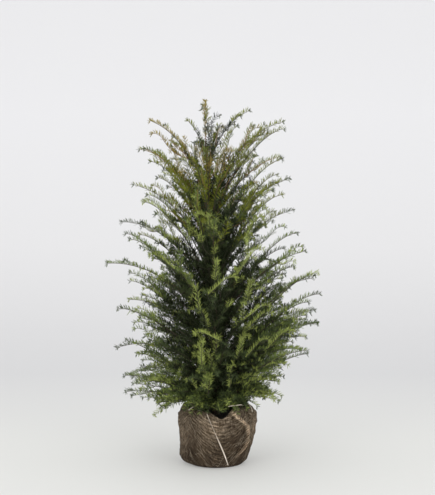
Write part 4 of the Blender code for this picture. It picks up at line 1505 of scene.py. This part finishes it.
EAR_DISTANCE = 0.090
EAR_OUTLINE = ((0.0, 0.012), (0.014, 0.0095), (0.026, 0.0072), (0.036, 0.0098), (0.052, 0.0160))
EAR_TOP = EAR_OUTLINE[-1][0]
EAR_LEAN = math.radians(14)
EAR_SIDES = 60
EAR_RINGS = 22
RAGGED_RINGS = 3
RAG = 0.0035
EAR_PLEATS = 9
EAR_PLEAT = 0.26
EAR_RUMPLE = 0.12
EAR_TIE = 0.026
EAR_THREADS = 0.016


def ear_axis(azimuth, height):
    foot = around(azimuth, EAR_DISTANCE, SOIL_TOP + CLEARANCE)
    return foot + UP * height + around(azimuth, 1, 0) * (math.tan(EAR_LEAN) * height)


def next_ring(bm, ring):
    """Extrudes a closed ring of vertices and gives the new ones in the same order."""
    edges = [bm.edges.get(pair) for pair in zip(ring, ring[1:] + ring[:1])]
    grown = bmesh.ops.extrude_edge_only(bm, edges=edges)["geom"]
    new = {item for item in grown if isinstance(item, bmesh.types.BMVert)}
    return [next(e.other_vert(v) for e in v.link_edges if e.other_vert(v) in new) for v in ring]


def place_ear_ring(ring, azimuth, height, share, ragged):
    radius = float(eased(height, EAR_OUTLINE)) * share
    for i, vert in enumerate(ring):
        turn = FULL_TURN * i / EAR_SIDES
        place = Vector((math.cos(turn) * 2, math.sin(turn) * 2, height * 60 + azimuth))
        rumple = noise.noise(place)
        pleat = EAR_PLEAT * (height / EAR_TOP) * math.cos(EAR_PLEATS * turn + 2 * rumple)
        out = radius * (1 + pleat + EAR_RUMPLE * rumple)
        vert.co = ear_axis(azimuth, height) + around(turn, out, 0)
        if ragged:
            vert.co.z += RAG * noise.noise(place * 2.1)


def ear_mesh(name, azimuth):
    """A bunch of pleated cloth, drawn in at its tie and ragged at its mouth."""
    rows = [(float(h), 1.0) for h in np.linspace(0, EAR_TOP, EAR_RINGS)]
    rows += [(EAR_TOP - 0.006 * step, 1.0 - 0.24 * step) for step in range(1, 5)]
    bm = bmesh.new()
    ring = bmesh.ops.create_circle(bm, segments=EAR_SIDES, radius=1.0, cap_ends=True)["verts"]
    for number, (height, share) in enumerate(rows):
        if number:
            ring = next_ring(bm, ring)
        place_ear_ring(ring, azimuth, height, share, number >= EAR_RINGS - RAGGED_RINGS)
    bm.faces.new(ring)
    layer = bm.loops.layers.uv.new("weave")
    foot = ear_axis(azimuth, 0)
    for face in bm.faces:
        home = face.calc_center_median() - foot
        home = math.atan2(home.y, home.x)
        for loop in face.loops:
            away = loop.vert.co - foot
            turn = home + signed(math.atan2(away.y, away.x) - home)
            loop[layer].uv = (loop.vert.co.z, turn * EAR_THREADS)
    return mesh_from_bmesh(name, bm)


# String

STRING_PLY_RADIUS = 0.00115
STRING_PITCH = 0.010
STRING_STEP = 0.0011
# The diagonal string's two ends: azimuth and height
STRING_TOP = (math.radians(-103), 0.209)
STRING_BOTTOM = (math.radians(-70), 0.014)
# How thick the diagonal string is along its way, as a share of its usual radius
STRING_SWELL = ((0.0, 0.6), (0.35, 0.75), (0.58, 1.40), (0.82, 1.30), (1.0, 0.65))
EVEN = ((0.0, 1.0), (1.0, 1.0))
# The string wound round a corner's neck: its turns, the stretch that it covers, and how much
# wider than the neck it stands
WINDINGS = 3
BINDING_HEIGHT = 0.006
BINDING_ROOM = 1.16
# How far the two plies stand from their middle, and over how many points a taut string is even
PLY_APART = 0.8
TAUT_REACH = 6
SMOOTH_REACH = 3
# The free ends of the ties, from each knot over the rim
TIE_ENDS = (
    ((0.100, -0.072, 0.226), (0.092, -0.112, 0.236), (0.068, -0.136, 0.238),
     (0.044, -0.144, 0.236)),
    ((0.104, -0.066, 0.226), (0.120, -0.078, 0.232), (0.130, -0.086, 0.220),
     (0.134, -0.090, 0.205)),
    ((-0.074, -0.078, 0.224), (-0.084, -0.106, 0.226), (-0.100, -0.112, 0.216)),
)
# How soiled the string is over its height
STRING_SOIL = ((0.20, (1.0, 1.0, 1.0)), (0.62, (0.62, 0.58, 0.52)), (0.86, (0.75, 0.75, 0.72)))


def at_places(places, known, points):
    """Points at these places along a path whose points stand at the known places."""
    return np.column_stack([np.interp(places, known, column) for column in np.transpose(points)])


def twisted(path, swell=EVEN):
    """Two plies wound round each other along the path."""
    reach = measured(path)[2]
    even = np.linspace(0, reach[-1], max(8, int(reach[-1] / STRING_STEP)))
    centre = at_places(even, reach, path)
    ply = STRING_PLY_RADIUS * eased(even / reach[-1], swell)
    side, over = crossways(unit(np.gradient(centre, axis=0)))
    for half in (0.0, math.pi):
        winding = swung(side, over, FULL_TURN * even / STRING_PITCH + half)
        yield tube(centre + winding * ply[:, None] * PLY_APART, ply, 6)


def diagonal_path(fold):
    """The way of the string across the ball, drawn taut over the cloth's folds."""
    shares = np.linspace(0, 1, 60)
    azimuth, height = (a + (b - a) * shares for a, b in zip(STRING_TOP, STRING_BOTTOM))
    path = on_cloth(azimuth, height, fold)
    radius = np.hypot(path[:, 0], path[:, 1])
    taut = np.array([radius[max(0, i - TAUT_REACH):i + TAUT_REACH + 1].max()
                     for i in range(len(radius))])
    window = 2 * SMOOTH_REACH + 1
    taut = np.convolve(np.pad(taut, SMOOTH_REACH, mode="edge"), np.full(window, 1 / window),
                       mode="valid")
    taut += 1.7 * STRING_PLY_RADIUS
    return np.column_stack([taut * np.cos(azimuth), taut * np.sin(azimuth), height])


def windings(azimuth):
    """String wound round the neck of a gathered corner."""
    shares = np.linspace(0, 1, 40 * WINDINGS)
    heights = EAR_TIE - BINDING_HEIGHT / 2 + BINDING_HEIGHT * shares
    necks = eased(heights, EAR_OUTLINE) * BINDING_ROOM + STRING_PLY_RADIUS
    turns = FULL_TURN * WINDINGS * shares
    rows = zip(heights.tolist(), necks.tolist(), turns.tolist())
    return np.array([ear_axis(azimuth, height) + around(turn, neck, 0)
                     for height, neck, turn in rows])


def curve_through(points, count=40):
    """An even, smooth path through a few points."""
    fine = np.linspace(0, len(points) - 1, count)
    path = at_places(fine, np.arange(len(points)), points)
    for _ in range(3):
        path[1:-1] = (path[:-2] + 2 * path[1:-1] + path[2:]) / 4
    return path


def string_tubes(fold):
    tubes = [*twisted(diagonal_path(fold), STRING_SWELL)]
    bindings = [windings(azimuth) for azimuth in KNOT_AZIMUTHS[:2]]
    for path in bindings + [curve_through(points) for points in TIE_ENDS]:
        tubes += twisted(path)
    return tubes


def string_material(colour):
    """Pale string, soiled towards its upper end."""
    nodes = Nodes("string", roughness=0.8)
    clean = nodes.patches(colour, nodes.noise(120.0), (0.30, 0.70), (0.66, 1.15))
    nodes.colour(nodes.toned(1.0, clean, nodes.low_height(), *STRING_SOIL))
    nodes.bump(nodes.noise(900.0), 0.0004)
    return nodes.material


# Earth

EARTH_STEPS = 96
EARTH_RINGS = 30
EARTH_FOOT = 0.006
EARTH_SHRINK = 0.010
LUMP = 0.0045


def earth_mesh():
    """The ball of earth, lumpy on top, standing a little clear inside the cloth."""
    profile = [(EARTH_FOOT, 0.0), (EARTH_FOOT, 0.6)]
    profile += [(EARTH_FOOT + (SOIL_TOP - EARTH_FOOT) * i / 12, 1.0) for i in range(13)]
    profile += [(SOIL_TOP, float(share)) for share in np.linspace(1, 0, EARTH_RINGS)[1:]]
    bm = spun_grid(profile, EARTH_STEPS)
    for vert in bm.verts:
        azimuth = math.atan2(vert.co.y, vert.co.x)
        height, share = profile[round(math.hypot(vert.co.x, vert.co.y) - 2.0)]
        radius = (float(ball_radius(azimuth, height)) - EARTH_SHRINK) * share
        point = around(azimuth, radius, height)
        if height == SOIL_TOP:
            lumps = noise.noise(point * 55) + 0.6 * noise.noise(point * 140)
            point.z += LUMP * lumps * min(1.0, 6 * (1 - share) + 0.1)
        vert.co = point
    return merged_mesh("earth", bm)


def earth_material(colour):
    nodes = Nodes("earth", roughness=0.95)
    crumbs = nodes.noise(160.0, 5.0, 0.7)
    nodes.colour(nodes.patches(colour, crumbs, (0.35, 0.4), (0.7, 2.2)))
    nodes.bump(crumbs, 0.003)
    return nodes.material


# Operators


class YEW_OT_bark(bpy.types.Operator):
    """Add the trunk and the bare boughs with their bark"""

    bl_idname = "yew.bark"
    bl_label = "Trunk and boughs"

    def execute(self, context):
        settings = context.scene.yew_wood
        material = bark_material(settings.bark)
        limbs = [bough for bough in all_boughs() if bough.has_limb]
        add_piece("trunk_bark", trunk_mesh(settings.relief), material, ["trunk"])
        add_piece("bough_bark", limbs_mesh(limbs, settings.relief), material,
                  [f"bough_{bough.name}" for bough in limbs])
        return {"FINISHED"}


class YEW_OT_twigs(bpy.types.Operator):
    """Add the twigs that the needles stand on"""

    bl_idname = "yew.twigs"
    bl_label = "Twigs"

    def execute(self, context):
        rng = random.Random(5)
        kinds = {"green": [], "brown": [], "orange": []}
        for shoot in all_shoots():
            radii = np.linspace(shoot.radius, TIP_RADIUS, len(shoot.path))
            sides = STEM_SIDES if shoot.radius > STEM_FROM else TWIG_SIDES
            kinds[twig_kind(shoot, rng.random())].append(tube(shoot.path, radii, sides))
        for kind, tubes in kinds.items():
            material = twig_material(kind, getattr(context.scene.yew_wood, kind))
            name = f"twigs_{kind}"
            add_piece(name, mesh_from_tubes(name, tubes), material)
        return {"FINISHED"}


class YEW_OT_needles(bpy.types.Operator):
    """Add the needles, a piece for each colour"""

    bl_idname = "yew.needles"
    bl_label = "Needles"

    def execute(self, context):
        settings = context.scene.yew_needles
        rng = np.random.default_rng(11)
        shoots = all_shoots()
        feet = needle_feet(shoots, settings.pitch, rng)
        points = needle_points(feet, shoots, settings, rng)
        tones = needle_tones(feet, shoots, rng)
        clear = kept(points)
        masses = [f"foliage_{bough.name}" for bough in all_boughs()]
        for number, tone in enumerate(TONES):
            chosen = points[clear & (tones == number)]
            material = needle_material(tone, getattr(settings, tone))
            for part, start in enumerate(range(0, len(chosen), MOST_NEEDLES)):
                some = chosen[start:start + MOST_NEEDLES]
                offsets = np.arange(len(some))[:, None, None] * len(NEEDLE_SHAPE)
                triangles = (np.array(NEEDLE_FACES) + offsets).reshape(-1, 3)
                name = f"needles_{tone}_{part + 1}"
                mesh = mesh_from_arrays(name, some.reshape(-1, 3), triangles)
                add_piece(name, mesh, material, masses)
        return {"FINISHED"}


class YEW_OT_hessian(bpy.types.Operator):
    """Add the draped cloth, its gathered corners and its loose fibres"""

    bl_idname = "yew.hessian"
    bl_label = "Hessian wrap"

    def execute(self, context):
        settings = context.scene.yew_ball
        material = hessian_material(settings)
        add_piece("hessian", wrap_mesh(settings.fold), material, ["hessian_wrap"])
        for side, azimuth in zip(("left", "right"), KNOT_AZIMUTHS):
            name = f"corner_{side}"
            add_piece(name, ear_mesh(name, azimuth), material, [f"wrap_ear_{side}"])
        for seed, name in enumerate(("fibre", "dark_fibre")):
            tubes = fibre_tubes(settings.fibres, settings.fold, seed)
            add_piece(name, mesh_from_tubes(name, tubes, smooth=False),
                      fibre_material(name, getattr(settings, name)))
        return {"FINISHED"}


class YEW_OT_string(bpy.types.Operator):
    """Add the string across the ball and the ties at its knots"""

    bl_idname = "yew.string"
    bl_label = "Tie strings"

    def execute(self, context):
        settings = context.scene.yew_ball
        mesh = mesh_from_tubes("ties", string_tubes(settings.fold))
        add_piece("ties", mesh, string_material(settings.string), ["tie_string"])
        return {"FINISHED"}


class YEW_OT_earth(bpy.types.Operator):
    """Add the ball of earth inside the cloth"""

    bl_idname = "yew.earth"
    bl_label = "Earth"

    def execute(self, context):
        material = earth_material(context.scene.yew_ball.earth)
        add_piece("earth", earth_mesh(), material, ["soil_ball"])
        return {"FINISHED"}


# Stage

CAMERA_SIDE = 0.0056
CAMERA_DIP = math.radians(2.8)
CAMERA_LENS = 78.2
CAMERA_REACH = 50.0
FLOOR_HALF = 9.0
FLOOR_FRONT = -9.0
FLOOR_LEVEL = -0.0005
# The floor glows a little, though it is no lamp: painted light that softens the shadow under the
# plant
FLOOR_GLOW = 0.59
WALL_AT = 6.0
COVE = 2.5
WALL_TOP = 7.0
# The backdrop's tones by depth plus twice the height, as shares of BACKDROP_REACH: painted light
# and shade, darker low on the wall and lighter high up, as the studio light falls
BACKDROP_REACH = 12.0
FLOOR_UNTIL = 0.025
BACKDROP_PAINTED_LIGHT = ((0.164, (0.408, 0.406, 0.407)), (0.517, (0.500, 0.495, 0.497)),
            (0.778, (0.531, 0.527, 0.533)))
SKY_COLOUR = (0.97, 0.985, 1.0, 1.0)
# The soft lights, each named for its setting: place, the point that it faces, and its two sides
LIGHTS = (
    ("overhead", (0.0, -0.6, 3.1), (0.0, 0.0, 0.6), (3.2, 2.6)),
    ("front_left", (-2.4, -3.4, 1.3), (0.0, 0.0, 0.5), (2.2, 2.2)),
    ("front_right", (2.4, -3.4, 1.3), (0.0, 0.0, 0.5), (2.2, 2.2)),
)


def floor_mesh():
    """The floor, the cove and the wall behind, swept across from a single line."""
    line = [(FLOOR_FRONT, FLOOR_LEVEL)]
    line += [(WALL_AT - COVE + COVE * math.sin(a), COVE - COVE * math.cos(a) + FLOOR_LEVEL)
             for a in np.linspace(0, math.pi / 2, 24)]
    line.append((WALL_AT, WALL_TOP))
    bm = bmesh.new()
    verts = [bm.verts.new((-FLOOR_HALF, y, z)) for y, z in line]
    edges = [bm.edges.new(pair) for pair in zip(verts, verts[1:])]
    grown = bmesh.ops.extrude_edge_only(bm, edges=edges)["geom"]
    moved = [item for item in grown if isinstance(item, bmesh.types.BMVert)]
    bmesh.ops.translate(bm, verts=moved, vec=(2 * FLOOR_HALF, 0, 0))
    return mesh_from_bmesh("floor", bm)


def floor_material(colour):
    nodes = Nodes("floor", roughness=0.7, Emission_Strength=FLOOR_GLOW)
    place = nodes.axes()
    along = nodes.math("ADD", place["Y"], nodes.math("MULTIPLY", place["Z"], 2.0))
    along = nodes.math("DIVIDE", along, BACKDROP_REACH)
    # Painted light and shade on the floor and backdrop, by depth and height
    shade = nodes.ramp(along, (FLOOR_UNTIL, colour), *BACKDROP_PAINTED_LIGHT)
    nodes.colour(shade)
    # The floor's painted glow
    nodes.put(nodes.shader.inputs["Emission Color"], shade)
    return nodes.material


def area_light(name, place, facing, sides, power):
    data = bpy.data.lights.new(name, "AREA")
    data.shape = "RECTANGLE"
    data.size, data.size_y = sides
    data.energy = power
    light = bpy.data.objects.new(name, data)
    light.location = place
    light.rotation_mode = "QUATERNION"
    light.rotation_quaternion = (Vector(facing) - Vector(place)).to_track_quat("-Z", "Y")
    bpy.context.scene.collection.objects.link(light)


def add_surround(scene, strength):
    world = bpy.data.worlds.new("studio")
    world.use_nodes = True
    background = world.node_tree.nodes["Background"]
    background.inputs["Color"].default_value = SKY_COLOUR
    background.inputs["Strength"].default_value = strength
    scene.world = world
    scene.view_settings.view_transform = "Standard"


def add_camera(scene, distance, eye_height):
    data = bpy.data.cameras.new("camera")
    data.lens = CAMERA_LENS
    data.clip_end = CAMERA_REACH
    camera = bpy.data.objects.new("camera", data)
    camera.location = (CAMERA_SIDE, -distance, eye_height)
    camera.rotation_euler = (math.pi / 2 - CAMERA_DIP, 0.0, 0.0)
    scene.collection.objects.link(camera)
    scene.camera = camera


class YEW_OT_stage(bpy.types.Operator):
    """Add the pale floor, the soft light and the camera"""

    bl_idname = "yew.stage"
    bl_label = "Floor, light and camera"

    def execute(self, context):
        scene = context.scene
        settings = scene.yew_stage
        mesh = floor_mesh()
        mesh.materials.append(floor_material(settings.floor))
        floor = bpy.data.objects.new("floor", mesh)
        scene.collection.objects.link(floor)
        for name, place, facing, sides in LIGHTS:
            power = getattr(settings, name.split("_")[0])
            area_light(name, place, facing, sides, power)
        add_surround(scene, settings.surround)
        add_camera(scene, settings.distance, settings.eye_height)
        return {"FINISHED"}


OPERATORS = (YEW_OT_bark, YEW_OT_twigs, YEW_OT_needles, YEW_OT_hessian, YEW_OT_string,
             YEW_OT_earth, YEW_OT_stage)
SETTINGS = {"yew_needles": YewNeedles, "yew_wood": YewWood, "yew_ball": YewBall,
            "yew_stage": YewStage}


class YEW_PT_panel(bpy.types.Panel):
    """Lists the steps that dress the yew"""

    bl_idname = "YEW_PT_panel"
    bl_label = "Root-balled yew"
    bl_space_type = "VIEW_3D"
    bl_region_type = "UI"
    bl_category = "Yew"

    def draw(self, context):
        for operator in OPERATORS:
            self.layout.operator(operator.bl_idname)


CLASSES = (*SETTINGS.values(), *OPERATORS, YEW_PT_panel)


def register():
    for item in CLASSES:
        bpy.utils.register_class(item)
    for name, group in SETTINGS.items():
        setattr(bpy.types.Scene, name, PointerProperty(type=group))


def unregister():
    for name in SETTINGS:
        delattr(bpy.types.Scene, name)
    for item in reversed(CLASSES):
        bpy.utils.unregister_class(item)


def main():
    register()
    bpy.ops.yew.bark()
    bpy.ops.yew.twigs()
    bpy.ops.yew.needles()
    bpy.ops.yew.hessian()
    bpy.ops.yew.string()
    bpy.ops.yew.earth()
    bpy.ops.yew.stage()


if __name__ == "__main__":
    main()
